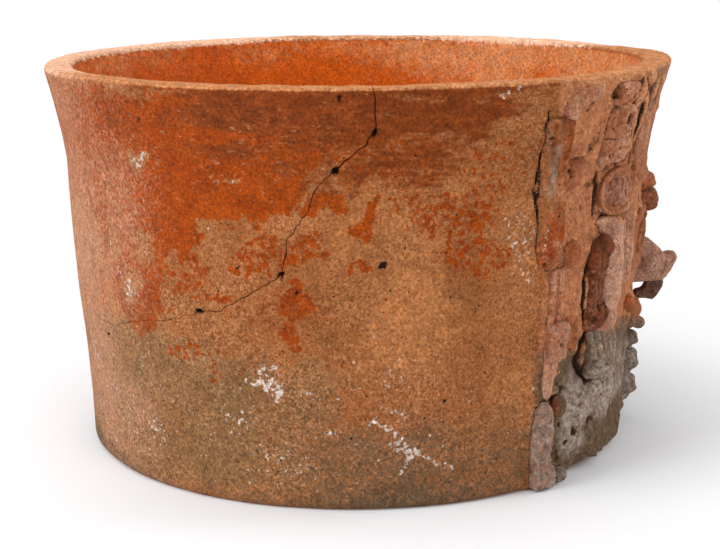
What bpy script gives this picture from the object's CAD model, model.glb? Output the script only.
"""Cache vessel of fired clay: a slipped drum with a flared rim and a snouted mask in applied relief.

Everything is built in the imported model's frame, with +Z up and the mask facing -Y. Sizes are
millimetres until a mesh is finished. A turn is measured in degrees round the drum, from the side
that the photograph shows (-X) towards the mask, whose middle is at 90. The relief is modelled
flat, as arc distance from the mask's middle, height, and distance out from the wall, and is
then draped over the drum.
"""

from __future__ import annotations

import itertools
import logging
import math
from collections.abc import Iterable, Sequence
from dataclasses import dataclass, field, replace
from enum import Enum
from functools import cached_property

import bmesh
import bpy
import numpy as np
from mathutils import Matrix, Vector
from mathutils.kdtree import KDTree

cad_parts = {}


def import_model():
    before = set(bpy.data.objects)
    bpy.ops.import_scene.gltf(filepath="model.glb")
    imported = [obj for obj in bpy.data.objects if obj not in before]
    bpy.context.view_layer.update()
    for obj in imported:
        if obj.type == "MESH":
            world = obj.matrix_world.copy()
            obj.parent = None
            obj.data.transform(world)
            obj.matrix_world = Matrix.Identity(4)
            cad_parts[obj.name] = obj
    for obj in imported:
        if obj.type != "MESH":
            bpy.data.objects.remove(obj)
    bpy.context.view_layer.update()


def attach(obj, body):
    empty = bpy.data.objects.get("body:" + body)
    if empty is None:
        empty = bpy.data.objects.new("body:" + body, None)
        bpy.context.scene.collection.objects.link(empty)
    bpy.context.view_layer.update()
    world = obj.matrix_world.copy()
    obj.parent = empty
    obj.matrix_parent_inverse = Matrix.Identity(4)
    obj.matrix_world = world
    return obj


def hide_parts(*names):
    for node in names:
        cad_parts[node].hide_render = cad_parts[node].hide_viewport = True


log = logging.getLogger("cache_vessel")

MM = 0.001
MASK_TURN = 90.0

Path = Sequence[tuple[float, float]]
Rows = Sequence[Sequence]
Points = np.ndarray
Mesh = bpy.types.Mesh
Socket = bpy.types.NodeSocket


# ---------------------------------------------------------------- helpers


def linear(hex_colour: str) -> tuple[float, float, float, float]:
    """Turn an sRGB hex colour into linear RGBA.

    Args:
        hex_colour: Six hex digits, without a leading mark.

    Returns:
        The colour as four linear numbers, the last of them 1.
    """
    parts = [int(hex_colour[i : i + 2], 16) / 255 for i in (0, 2, 4)]
    red, green, blue = (p / 12.92 if p <= 0.04045 else ((p + 0.055) / 1.055) ** 2.4 for p in parts)
    return red, green, blue, 1.0


def lattice(points: Points, size: float, seed: int) -> Points:
    """Smooth random values between -1 and 1.

    Args:
        points: An (n, 3) array of places in millimetres.
        size: Distance between the random values, in millimetres.
        seed: Number that picks the pattern.

    Returns:
        One value for each place.
    """
    cell = np.asarray(points, dtype=float) / size
    corner = np.floor(cell)
    part = cell - corner
    part = part * part * (3 - 2 * part)
    corner = corner.astype(np.int64)
    total = np.zeros(len(cell))
    for step in itertools.product((0, 1), repeat=3):
        key = corner + np.array(step)
        mixed = key[:, 0] * 73856093 ^ key[:, 1] * 19349663 ^ key[:, 2] * 83492791 ^ seed * 2654435
        mixed = (mixed ^ (mixed >> 13)) * 1274126177
        mixed = mixed ^ (mixed >> 16)
        weight = np.prod(np.where(step, part, 1 - part), axis=1)
        total += weight * ((mixed & 0xFFFF) / 32767.5 - 1)
    return total


def noise(points: Points, size: float, seed: int, layers: int = 3) -> Points:
    """Noise with finer layers of half the strength added to it.

    Args:
        points: An (n, 3) array of places in millimetres.
        size: Distance between the values of the broadest layer, in millimetres.
        seed: Number that picks the pattern.
        layers: How many layers are added up.

    Returns:
        One value for each place, mostly between -1 and 1.
    """
    return sum(lattice(points, size / 2**i, seed + i) / 2**i for i in range(layers)) / 1.4


def ramp(value: Points, start: float, end: float) -> Points:
    """Smooth step from 0 at the start to 1 at the end, which may be the lower of the two."""
    share = np.clip((value - start) / (end - start), 0, 1)
    return share * share * (3 - 2 * share)


def path_distance(x: Points, y: Points, path: Path) -> Points:
    """Distance from points to a path of straight stretches.

    Args:
        x: First coordinates of the points.
        y: Second coordinates of the points.
        path: Corners of the path.

    Returns:
        The distance of each point from the nearest stretch.
    """
    nearest = np.full(len(x), np.inf)
    for (ax, ay), (bx, by) in itertools.pairwise(path):
        long = max((bx - ax) ** 2 + (by - ay) ** 2, 1e-9)
        share = np.clip(((x - ax) * (bx - ax) + (y - ay) * (by - ay)) / long, 0, 1)
        nearest = np.minimum(nearest, np.hypot(x - ax - share * (bx - ax), y - ay - share * (by - ay)))
    return nearest


def spaced(path: Path, step: float) -> list[tuple[float, float]]:
    """Points along a path, no further apart than a step."""
    found = [path[0]]
    for (ax, ay), (bx, by) in itertools.pairwise(path):
        count = max(1, math.ceil(math.hypot(bx - ax, by - ay) / step))
        found += [(ax + (bx - ax) * i / count, ay + (by - ay) * i / count) for i in range(1, count + 1)]
    return found


def read_points(mesh: Mesh) -> Points:
    """The mesh's vertices as an (n, 3) array."""
    flat = np.empty(len(mesh.vertices) * 3, dtype=np.float32)
    mesh.vertices.foreach_get("co", flat)
    return flat.reshape(-1, 3).astype(float)


def read_normals(mesh: Mesh) -> Points:
    """The mesh's vertex normals as an (n, 3) array."""
    flat = np.empty(len(mesh.vertices) * 3, dtype=np.float32)
    mesh.vertex_normals.foreach_get("vector", flat)
    return flat.reshape(-1, 3).astype(float)


def write_points(mesh: Mesh, points: Points) -> None:
    """Put the vertices at the places in an (n, 3) array."""
    mesh.vertices.foreach_set("co", points.astype(np.float32).ravel())
    mesh.update()


def store(mesh: Mesh, name: str, values: Points) -> None:
    """Keep one number per vertex as an attribute that the materials read."""
    layer = mesh.attributes.new(name, "FLOAT", "POINT")
    layer.data.foreach_set("value", np.clip(values, 0, 1).astype(np.float32))


def hollowness(mesh: Mesh, points: Points, rounds: int = 4) -> Points:
    """How far each vertex lies below the smoothed surface, in millimetres.

    Args:
        mesh: The mesh, for its edges and normals.
        points: Its vertices in millimetres.
        rounds: How often the surface is smoothed.

    Returns:
        Positive numbers in hollows, negative ones on ridges.
    """
    ends = np.empty(len(mesh.edges) * 2, dtype=np.int32)
    mesh.edges.foreach_get("vertices", ends)
    first, second = ends.reshape(-1, 2).T
    count = np.bincount(ends, minlength=len(points)).astype(float)[:, None]
    smooth = points.copy()
    for _ in range(rounds):
        total = np.zeros_like(smooth)
        for axis in range(3):
            total[:, axis] = np.bincount(first, smooth[second, axis], len(points))
            total[:, axis] += np.bincount(second, smooth[first, axis], len(points))
        smooth = total / np.maximum(count, 1)
    return np.einsum("ij,ij->i", smooth - points, read_normals(mesh))


def new_object(name: str, mesh: Mesh) -> bpy.types.Object:
    """Link a mesh into the scene as an object at the origin."""
    made = bpy.data.objects.new(name, mesh)
    bpy.context.scene.collection.objects.link(made)
    return made


def mesh_from(shape: bmesh.types.BMesh, name: str) -> Mesh:
    """Turn a bmesh into a mesh and free it."""
    mesh = bpy.data.meshes.new(name)
    shape.to_mesh(mesh)
    shape.free()
    return mesh


def applied(thing: bpy.types.Object, name: str) -> Mesh:
    """Apply an object's modifiers, delete the object and give back the finished mesh."""
    graph = bpy.context.evaluated_depsgraph_get()
    mesh = bpy.data.meshes.new_from_object(thing.evaluated_get(graph))
    mesh.name = name
    bpy.data.objects.remove(thing)
    return mesh


def merge_doubles(shape: bmesh.types.BMesh) -> None:
    """Join vertices that lie on each other, and turn every face outwards."""
    bmesh.ops.remove_doubles(shape, verts=shape.verts, dist=0.01)
    bmesh.ops.recalc_face_normals(shape, faces=shape.faces)


def outward(points: Points) -> Points:
    """Level unit vectors from the axis towards each place."""
    return points * (1, 1, 0) / np.hypot(points[:, 0], points[:, 1])[:, None]


# ---------------------------------------------------------------- materials


class Slot(Enum):
    """Material slots of the record."""

    WORN_SLIP = "worn_slip"
    FLOOR_SLIP = "floor_slip"
    PINK = "pink_clay"
    PALE = "pale_clay"
    DULL = "dull_clay"
    ASH = "ash_clay"
    SOOT = "soot_clay"


@dataclass(frozen=True)
class Coat:
    """Layer of slip, soil, ash or lime, which lies where an attribute of the mesh says.

    The cloud is the size in millimetres at which its two colours run into each other, and the
    flecks are the size of its ragged holes and islands, whose borders may be soft. The share
    multiplies its cover, and a brushed coat is drawn out level.
    """

    cover: str
    first: str
    second: str
    cloud: float = 3.0
    flecks: float = 2.5
    soft: float = 0.5
    share: float = 1.0
    brushed: bool = False


class Graph:
    """Node graph of a material or a world."""

    def __init__(self, owner: bpy.types.Material | bpy.types.World) -> None:
        """Start with an empty graph."""
        self.owner = owner
        owner.use_nodes = True
        self.tree = owner.node_tree
        self.tree.nodes.clear()

    def add(
        self, kind: str, inputs: dict | None = None, give: str | int = 0, **settings: object
    ) -> Socket | None:
        """Add a node.

        Args:
            kind: The node's type, without its prefix.
            inputs: Numbers, colours or other nodes' sockets for its inputs, by name or number.
            give: The wanted output, by name or number.
            **settings: Values for the node's own properties.

        Returns:
            The wanted output, where the node has any.
        """
        node = self.tree.nodes.new(f"ShaderNode{kind}")
        for key, value in settings.items():
            setattr(node, key, value)
        for key, value in (inputs or {}).items():
            if isinstance(value, Socket):
                self.tree.links.new(value, node.inputs[key])
            else:
                node.inputs[key].default_value = value
        return node.outputs[give] if len(node.outputs) else None

    @cached_property
    def place(self) -> Socket:
        """Object coordinates in millimetres, turned so that no noise lines up with the walls."""
        start = self.add("TexCoord", give="Object")
        return self.add("Mapping", {"Vector": start, "Scale": (1 / MM,) * 3, "Rotation": (0.7, 0.5, 0.3)})

    @cached_property
    def brushed(self) -> Socket:
        """Object coordinates in millimetres, drawn out level as the brush and the burnisher ran."""
        scale = (0.35 / MM, 0.35 / MM, 1 / MM)
        return self.add("Mapping", {"Vector": self.add("TexCoord", give="Object"), "Scale": scale})

    def amount(self, name: str, share: float = 1.0) -> Socket:
        """A number kept on the mesh, multiplied by a share."""
        kept = self.add("Attribute", give="Fac", attribute_name=name)
        return self.add("Math", {0: kept, 1: share}, operation="MULTIPLY")

    def mottled(self, place: Socket, size: float, first: str, second: str) -> Socket:
        """Two clay colours clouded into each other at a size in millimetres."""
        cloud = self.add("TexNoise", {"Vector": place, "Scale": 1 / size, "Detail": 6.0, "Roughness": 0.62})
        share = self.add("MapRange", {"Value": cloud, "From Min": 0.32, "From Max": 0.68})
        return self.add("Mix", {0: share, 6: linear(first), 7: linear(second)}, 2, data_type="RGBA")

    def coated(self, below: Socket, amount: Socket, place: Socket, coat: Coat) -> Socket:
        """Lay a clouded coat over a colour, broken up into flecks as ragged as worn clay.

        Args:
            below: The colour beneath.
            amount: Share of the surface that the coat covers, 0 to 1.
            place: Coordinates in millimetres.
            coat: The coat.

        Returns:
            The new colour.
        """
        ragged = {"Scale": 1 / coat.flecks, "Detail": 5.0, "Roughness": 0.68}
        fleck = self.add("TexNoise", {"Vector": place, **ragged})
        depth = self.add("MapRange", {"Value": fleck, "From Min": 0.28, "From Max": 0.72, "To Max": -1.0})
        above = self.add("Math", {0: amount, 1: 1 + 2 * coat.soft, 2: depth}, operation="MULTIPLY_ADD")
        border = {"Value": above, "From Min": 0.0, "From Max": 2 * coat.soft}
        mask = self.add("MapRange", border, interpolation_type="SMOOTHSTEP")
        colours = self.mottled(place, coat.cloud, coat.first, coat.second)
        return self.add("Mix", {0: mask, 6: below, 7: colours}, 2, data_type="RGBA")

    def layered(self, colour: Socket, coats: Iterable[Coat]) -> Socket:
        """Lay coats over a colour one after the other."""
        for coat in coats:
            place = self.brushed if coat.brushed else self.place
            colour = self.coated(colour, self.amount(coat.cover, coat.share), place, coat)
        return colour

    def speckled(self, colour: Socket, size: float, spread: float) -> tuple[Socket, Socket]:
        """Make a colour lighter and darker grain by grain.

        Args:
            colour: The colour.
            size: Size of the grains in millimetres.
            spread: How much lighter or darker they are, as a share.

        Returns:
            The new colour, and the grains as a height.
        """
        coarse = {"Scale": 1 / size, "Detail": 4.0, "Roughness": 0.7}
        grain = self.add("TexNoise", {"Vector": self.place, **coarse})
        reach = {"From Min": 0.3, "From Max": 0.7, "To Min": 1 - spread, "To Max": 1 + spread}
        light = self.add("MapRange", {"Value": grain, **reach})
        return self.add("VectorMath", {0: colour, 1: light}, operation="MULTIPLY"), grain

    def crazed(self, colour: Socket, amount: Socket, size: float, line: str) -> Socket:
        """Draw the net of pale scratches that burial and cleaning leave on soft clay.

        Args:
            colour: The colour beneath.
            amount: How strong the net is, 0 to 1.
            size: Distance between the lines in millimetres.
            line: Colour of the lines.

        Returns:
            The new colour.
        """
        bend = self.add("TexNoise", {"Vector": self.place, "Scale": 1 / (2 * size), "Detail": 3.0}, "Color")
        bent = self.add("VectorMath", {0: bend, 1: (4 * size,) * 3, 2: self.place}, operation="MULTIPLY_ADD")
        net = self.add("TexVoronoi", {"Vector": bent, "Scale": 1 / size}, feature="DISTANCE_TO_EDGE")
        thin = {"Value": net, "From Min": 0.12, "From Max": 0.02}
        near = self.add("MapRange", thin, interpolation_type="SMOOTHSTEP")
        share = self.add("Math", {0: near, 1: amount}, operation="MULTIPLY")
        return self.add("Mix", {0: share, 6: colour, 7: linear(line)}, 2, data_type="RGBA")

    def pores(self, spacing: float, rare: float, widest: float) -> Socket:
        """Scatter pinholes where grit or chaff fell out of the clay.

        Args:
            spacing: Distance between the places where there may be one, in millimetres.
            rare: Share of those places without one.
            widest: Radius of the widest one, as a share of the spacing.

        Returns:
            A mask that is 1 in the pinholes.
        """
        hole = self.add("TexVoronoi", {"Vector": self.place, "Scale": 1 / spacing}, feature="F1")
        pick = self.add("SeparateColor", {"Color": hole.node.outputs["Color"]})
        wide = self.add("MapRange", {"Value": pick, "From Min": rare, "From Max": 1.0, "To Max": widest})
        return self.add("Math", {0: hole, 1: wide}, operation="LESS_THAN")

    def surface(
        self, colour: Socket, roughness: Socket | float, relief: Socket, depth: float
    ) -> bpy.types.Material:
        """Finish the material as unglazed ceramic, with the faint bloom of fired clay at its edges.

        Args:
            colour: The colour of the surface.
            roughness: How dull it is.
            relief: Height of the fine relief, 0 to 1.
            depth: What a height of 1 stands for, in millimetres.

        Returns:
            The finished material.
        """
        bump = self.add("Bump", {"Height": relief, "Distance": depth * MM, "Strength": 1.0})
        bloom = {"Sheen Weight": 0.12, "Sheen Roughness": 0.3, "Sheen Tint": linear("d8905c")}
        fired = {"Normal": bump, "IOR": 1.5, "Specular IOR Level": 0.14, **bloom}
        clay = self.add("BsdfPrincipled", {"Base Color": colour, "Roughness": roughness, **fired})
        self.add("OutputMaterial", {"Surface": clay})
        return self.owner


@dataclass(frozen=True)
class WornSlip:
    """Red-orange iron slip brushed over a tan body and largely worn off outside.

    The slip survives in ragged, flecked areas with a faint polish. Where it is gone, the sandy
    body shows, darkened by use and soil, with crusts of lime. Inside, the slip was burnished and
    is still bright. Under the mask the wall was left bare, and it turned grey near the ground.
    """

    body: tuple[str, str] = ("a05e31", "865028")
    body_cloud: float = 26.0
    stains: tuple[Coat, ...] = (
        Coat("warm", "bd7c48", "a05e30", 4.0, 3.0, 0.4, 0.8),
        Coat("stain", "6a4a2a", "8c6540", 3.0, 3.0, 0.6, 0.9),
    )
    coats: tuple[Coat, ...] = (
        Coat("slip", "8c3500", "9e4303", 9.0, 3.0, 0.12),
        Coat("smoked", "6c2e0a", "8c4214", 3.0, 2.4, 0.4, brushed=True),
        Coat("slip", "bb8864", "a06a44", 2.0, 1.3, 0.16, 0.26, brushed=True),
        Coat("faded", "c09074", "a87250", 3.0, 1.6),
        Coat("bare", "bd7b52", "9c5f3e", 4.0, 6.0, 0.4),
        Coat("gravel", "574330", "6f5a44", 3.0, 2.4, 0.6),
        Coat("ash", "b5a597", "6e5a4b", 2.8, 2.6, 0.6),
        Coat("rubbed", "cc9166", "b87b52"),
        Coat("lime", "dccec4", "bca794", 2.0, 1.8, 0.1),
        Coat("hollow", "3c2415", "5a3820"),
        Coat("inside", "ca5c04", "ba4e01", 12.0, 1.0, 0.01),
        Coat("scuffed", "ce8e64", "c8742e", 4.0, 3.5, 0.6),
        Coat("lip", "cc9062", "b06632", 4.0, 2.4),
        Coat("lip_worn", "f0c8ac", "e2a27c", 4.0, 2.4, 0.3),
    )
    dirt: Coat = Coat("dirt", "1a100a", "2a1a11", 2.0, 1.0, 0.3)
    scratch: str = "c0885e"
    fleck: str = "3a1f10"
    grain: float = 1.3
    pore_spacing: float = 4.5

    def material(self) -> bpy.types.Material:
        """Build the material."""
        g = Graph(bpy.data.materials.new("red_slip_worn_over_tan_earthenware"))
        colour = g.layered(g.mottled(g.place, self.body_cloud, *self.body), self.stains)
        colour = g.layered(g.crazed(colour, g.amount("scratched"), 2.4, self.scratch), self.coats)
        slipped, inner = g.amount("slip"), g.amount("inside")
        broad, _ = g.speckled(colour, 5 * self.grain, 0.2)
        fine, grit = g.speckled(broad, self.grain, 0.52)
        faint = g.add("Math", {0: g.pores(1.7, 0.4, 0.3), 1: 0.55}, operation="MULTIPLY")
        fine = g.add("Mix", {0: faint, 6: fine, 7: linear(self.fleck)}, 2, data_type="RGBA")
        pore = g.pores(self.pore_spacing, 0.62, 0.12)
        outside = g.add("Math", {0: pore, 1: inner}, operation="SUBTRACT", use_clamp=True)
        dark = g.add("Math", {0: outside, 1: g.amount("dirt")}, operation="MAXIMUM")
        colour = g.coated(fine, dark, g.place, self.dirt)
        pitted = g.add("Math", {0: outside, 1: -0.8, 2: grit}, operation="MULTIPLY_ADD")
        calm = g.add("Math", {0: inner, 1: -0.75, 2: 1.0}, operation="MULTIPLY_ADD")
        height = g.add("Math", {0: pitted, 1: calm}, operation="MULTIPLY")
        gloss = g.add("Math", {0: slipped, 1: -0.1, 2: 0.86}, operation="MULTIPLY_ADD")
        gloss = g.add("Math", {0: inner, 1: -0.3, 2: gloss}, operation="MULTIPLY_ADD")
        return g.surface(colour, gloss, height, 0.6)


@dataclass(frozen=True)
class FloorSlip:
    """Burnished slip on the floor slab: bright orange with the soil of whatever was kept on it."""

    inside: tuple[str, str] = ("c8601c", "b65212")
    coats: tuple[Coat, ...] = (
        Coat("soil", "9a6240", "7d4f35", 5.0, 12.0, 0.4),
        Coat("under", "9a7152", "7b5b42", 9.0, 2.0, 0.05),
    )

    def material(self) -> bpy.types.Material:
        """Build the material."""
        g = Graph(bpy.data.materials.new("burnished_slip_on_floor_slab"))
        colour, grit = g.speckled(g.layered(g.mottled(g.place, 30, *self.inside), self.coats), 1.2, 0.2)
        return g.surface(colour, 0.62, grit, 0.2)


@dataclass(frozen=True)
class ReliefClay:
    """Applied clay, pinched and pressed on without slip, weathered and pitted by burial.

    Hollows hold dark soil, rubbed ridges are paler, and lime lies in scattered crusts. Pieces
    near the ground were greyed by ash, and the parts that stood out furthest were blackened.
    """

    name: str
    clay: tuple[str, str]
    rubbed: Coat
    cloud: float = 7.0
    under: tuple[Coat, ...] = (
        Coat("red", "b25c2c", "94481f", 3.0, 3.0, 0.6, 0.8),
        Coat("brown", "5c4431", "745a43", 3.0, 2.4, 0.6),
        Coat("ash", "b0a092", "68564a", 2.8, 2.6, 0.6),
    )
    over: tuple[Coat, ...] = (
        Coat("lime", "cdbcae", "a88f7a", 2.0, 1.4, 0.4),
        Coat("hollow", "3c2215", "5c3821", 3.0, 2.0, 0.5),
    )
    dirt: Coat = Coat("dirt", "22150d", "3a2418", 2.0, 1.0, 0.3)
    grain: float = 1.1

    def material(self) -> bpy.types.Material:
        """Build the material."""
        g = Graph(bpy.data.materials.new(self.name))
        colour = g.layered(g.mottled(g.place, self.cloud, *self.clay), (*self.under, self.rubbed, *self.over))
        broad, lumps = g.speckled(colour, 4 * self.grain, 0.28)
        colour, grit = g.speckled(broad, self.grain, 0.36)
        pore = g.pores(2.6, 0.55, 0.17)
        colour = g.coated(colour, pore, g.place, self.dirt)
        rough = g.add("Math", {0: lumps, 1: grit}, operation="ADD")
        height = g.add("Math", {0: pore, 1: -1.0, 2: rough}, operation="MULTIPLY_ADD")
        return g.surface(colour, 0.88, height, 0.9)


def bare_clay(
    name: str, first: str, second: str, ridge: Sequence[str], flecks: float, soft: float
) -> ReliefClay:
    """Applied clay of two colours, with the colours of its rubbed ridges and how they break up."""
    return ReliefClay(name, (first, second), Coat("rubbed", *ridge, 3.0, flecks, soft))


FINISHES: dict[Slot, WornSlip | FloorSlip | ReliefClay] = {
    Slot.WORN_SLIP: WornSlip(),
    Slot.FLOOR_SLIP: FloorSlip(),
    Slot.PINK: bare_clay("pink_clay_applied_bare", "b06c46", "8a4f30", ("cf9c80", "bb8060"), 2.0, 0.6),
    Slot.PALE: bare_clay("pale_clay_rubbed_smooth", "bb866a", "9c664a", ("cfa188", "b98468"), 2.0, 0.6),
    Slot.DULL: bare_clay("brown_clay_darkened_by_use", "8c4e30", "643119", ("b98a72", "a3705a"), 2.5, 0.5),
    Slot.ASH: replace(
        bare_clay("clay_greyed_by_ash", "8f7c6a", "67584a", ("b19e8c", "99866f"), 2.5, 0.5), cloud=4.0
    ),
    Slot.SOOT: bare_clay("clay_blackened_by_smoke", "7a5443", "594034", ("9c7c6a", "866654"), 2.5, 0.5),
}


class Wardrobe:
    """Makes each finish once and hands it to the pieces."""

    def __init__(self) -> None:
        """Start with nothing made."""
        self.made: dict[Slot, bpy.types.Material] = {}

    def dress(
        self, name: str, mesh: Mesh, slot: Slot, nodes: Iterable[str], sharp: float | None = None
    ) -> None:
        """Args:
            name: Name of the piece.
            mesh: Its finished mesh, in metres.
            slot: Its material slot.
            nodes: The nodes of the frame that it takes the place of.
            sharp: Degrees from which an edge stays sharp, where some do.
        """
        if slot not in self.made:
            self.made[slot] = FINISHES[slot].material()
        mesh.shade_smooth()
        if sharp:
            mesh.set_sharp_from_angle(angle=math.radians(sharp))
        mesh.materials.clear()
        mesh.materials.append(self.made[slot])
        piece = new_object(name, mesh)
        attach(piece, "root")
        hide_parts(*nodes)
        log.info("%s: %d vertices, %s", name, len(mesh.vertices), slot.value)


# ---------------------------------------------------------------- the drum


@dataclass(frozen=True)
class DrumForm:
    """Sizes of the drum, in millimetres."""

    height: float = 185.0
    rim_radius: float = 150.0
    body_radius: float = 141.5
    base_radius: float = 134.0
    wall: float = 12.0
    flare_length: float = 45.0
    flare_power: float = 1.15
    lip_thickness: float = 14.0
    lip_lean: float = 34.0
    lip_outer_round: float = 2.0
    lip_inner_round: float = 3.0
    foot_round: float = 4.0
    foot_ring: float = 3.0
    floor: float = 12.0
    floor_bevel: float = 4.0
    cove: float = 5.0

    def radius(self, z: Points | float) -> Points:
        """Outer radius of the wall at a height."""
        start = self.height - self.flare_length
        body = ramp(np.asarray(z, dtype=float), 0, start)
        flare = np.clip((np.asarray(z, dtype=float) - start) / self.flare_length, 0, 1)
        swell = (self.body_radius - self.base_radius) * body
        return self.base_radius + swell + (self.rim_radius - self.body_radius) * flare**self.flare_power

    def drape(self, flat: Points) -> Points:
        """Wrap flat relief round the drum.

        Args:
            flat: An (n, 3) array of arc distance, height and distance out.

        Returns:
            The places on the drum, in millimetres.
        """
        angle = flat[:, 0] / self.body_radius
        radius = self.radius(flat[:, 1]) + flat[:, 2]
        return np.column_stack((radius * np.sin(angle), -radius * np.cos(angle), flat[:, 1]))

    def out(self, points: Points) -> Points:
        """Distance of each place out from the wall."""
        return np.hypot(points[:, 0], points[:, 1]) - self.radius(points[:, 2])

    def turn(self, points: Points) -> Points:
        """Degrees round the drum from the photographed side towards the mask."""
        return np.degrees(np.arctan2(-points[:, 1], -points[:, 0]))

    def arc(self, turn: Points | float) -> Points:
        """Arc distance on the body for a turn in degrees."""
        return np.radians(turn) * self.body_radius


@dataclass
class Break:
    """The old break that freed one sherd of the rim, set back since."""

    form: DrumForm
    line: Path = (
        (3.4, 168.0), (2.4, 164.0), (-3.3, 151.0), (-5.2, 147.0), (-7.6, 140.0), (-8.3, 133.0),
        (-11.7, 121.0), (-12.2, 114.0), (-12.9, 106.0), (-18.3, 98.5), (-22.8, 91.0), (-25.0, 88.0),
        (-29.1, 87.0), (-30.8, 85.0), (-34.4, 82.0), (-39.4, 79.4), (-46.0, 76.0), (-53.9, 71.0),
        (-62.0, 70.5), (-72.0, 78.0), (-84.0, 92.0), (-92.0, 112.0), (-96.5, 140.0), (-98.5, 160.0),
    )
    start_turn: float = 2.7
    end_turn: float = -99.0
    tight: float = 0.18
    open: float = 0.4

    def ragged(self) -> list[tuple[float, float]]:
        """The line in arc distance and height, from rim to rim, with the jags of a clay break."""
        top = self.form.height + 8
        path = [(self.start_turn, top), (self.start_turn, 180.0), *self.line, (self.end_turn, top)]
        close = spaced([(float(self.form.arc(turn)), z) for turn, z in path], 1.4)
        places = np.array([(x, 0.0, z) for x, z in close])
        jag = np.column_stack((lattice(places, 3.1, 5), lattice(places, 2.7, 9)))
        inner = ((places[:, 2] < self.form.height - 3)[:, None]) * 1.0
        moved = places[:, [0, 2]] + jag * inner
        return [tuple(point) for point in moved]

    def block(self, open_gap: bool) -> Mesh:
        """The space above the break, as a block that reaches through the wall.

        Args:
            open_gap: Whether the line is lowered by the gap that shows in the crack.

        Returns:
            A closed mesh.
        """
        line = np.array(self.ragged())
        if open_gap:
            way = np.gradient(line, axis=0)
            way /= np.linalg.norm(way, axis=1)[:, None]
            share = ramp(line[:, 0], -125.0, -20.0)
            places = np.column_stack((line[:, 0], np.zeros(len(line)), line[:, 1]))
            gap = self.tight + (self.open * share) * (0.7 + 0.5 * lattice(places, 6.0, 21))
            line = line + np.column_stack((-way[:, 1], way[:, 0])) * gap[:, None]
        shape = bmesh.new()
        inner, outer = self.form.base_radius - 36, self.form.rim_radius + 36
        angles = line[:, 0] / self.form.body_radius + math.pi
        row = [
            shape.verts.new((inner * math.cos(angle), inner * math.sin(angle), z))
            for angle, z in zip(angles, line[:, 1])
        ]
        edges = [shape.edges.new(pair) for pair in itertools.pairwise(row)]
        spread = bmesh.ops.extrude_edge_only(shape, edges=edges)["geom"]
        for vert in (g for g in spread if isinstance(g, bmesh.types.BMVert)):
            vert.co.xy = vert.co.xy.normalized() * outer
        sheet = shape.faces[:]
        raised = bmesh.ops.extrude_face_region(shape, geom=sheet, use_keep_orig=True)["geom"]
        for vert in (g for g in raised if isinstance(g, bmesh.types.BMVert)):
            vert.co.z = self.form.height + 20
        bmesh.ops.recalc_face_normals(shape, faces=shape.faces)
        if shape.calc_volume(signed=True) < 0:
            bmesh.ops.reverse_faces(shape, faces=shape.faces)
        return mesh_from(shape, "break_block")

    def distance(self, turn: Points, z: Points) -> Points:
        """Distance of places on the wall from the break, in millimetres."""
        path = [(float(self.form.arc(t)), h) for t, h in ((self.start_turn, 185.0), *self.line)]
        return path_distance(self.form.arc(turn), z, path)


@dataclass(frozen=True)
class Patch:
    """Soft round area on the wall: its middle and half sizes in degrees and millimetres."""

    turn: float
    z: float
    wide: float
    high: float
    strength: float = 1.0

    def cover(self, turn: Points, z: Points) -> Points:
        """How much of the patch lies at each place, 0 to its strength."""
        away = np.hypot((turn - self.turn) / self.wide, (z - self.z) / self.high)
        return self.strength * ramp(away, 1.25, 0.55)


@dataclass(frozen=True)
class Stroke:
    """Thin streak on the wall along a path of turns and heights."""

    path: Path
    half: float
    strength: float = 1.0

    def cover(self, turn: Points, z: Points, form: DrumForm) -> Points:
        """How much of the streak lies at each place."""
        path = [(float(form.arc(t)), h) for t, h in self.path]
        return self.strength * ramp(path_distance(form.arc(turn), z, path), self.half * 1.6, self.half * 0.3)


@dataclass(frozen=True)
class Pit:
    """Small hole or chip in the wall: place in degrees and millimetres, half sizes and depth."""

    turn: float
    z: float
    wide: float
    high: float
    deep: float

    def cover(self, turn: Points, z: Points, form: DrumForm, edge: float, core: float) -> Points:
        """How deep in it each place is: 0 beyond the edge, as a share of its size, and 1 within the core."""
        return ramp(np.hypot(form.arc(turn - self.turn) / self.wide, (z - self.z) / self.high), edge, core)


class Ground:
    """Places on the wall, with the noise and the zones that several of its layers are drawn from."""

    def __init__(self, points: Points, form: DrumForm) -> None:
        """Measure the places.

        Args:
            points: Vertices of the wall in millimetres.
            form: The drum's sizes.
        """
        turn, z, out = form.turn(points), points[:, 2], form.out(points)
        fine = noise(points, 4.5, 97)
        self.points, self.turn, self.z, self.fine = points, turn, z, fine
        self.warp, self.cloud = noise(points, 14, 31) * 2.4, noise(points, 30, 3)
        self.ragged = turn + noise(points, 9, 41) * 1.6 + fine * 1.5, z + self.warp * 2.6 + fine * 4.5
        self.from_mask = np.abs(turn - MASK_TURN)
        self.panel = ramp(self.from_mask + self.warp * 0.5, 56.5, 53.5)
        self.east, self.west = ramp(turn, 150, 120), ramp(turn, -34, -74) * ramp(turn, -130, -95)
        self.outside = ramp(out, -4.0, -1.5)
        self.inside = ramp(out, -5.0, -8.5) * ramp(z, 184.0, 181.0)


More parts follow.
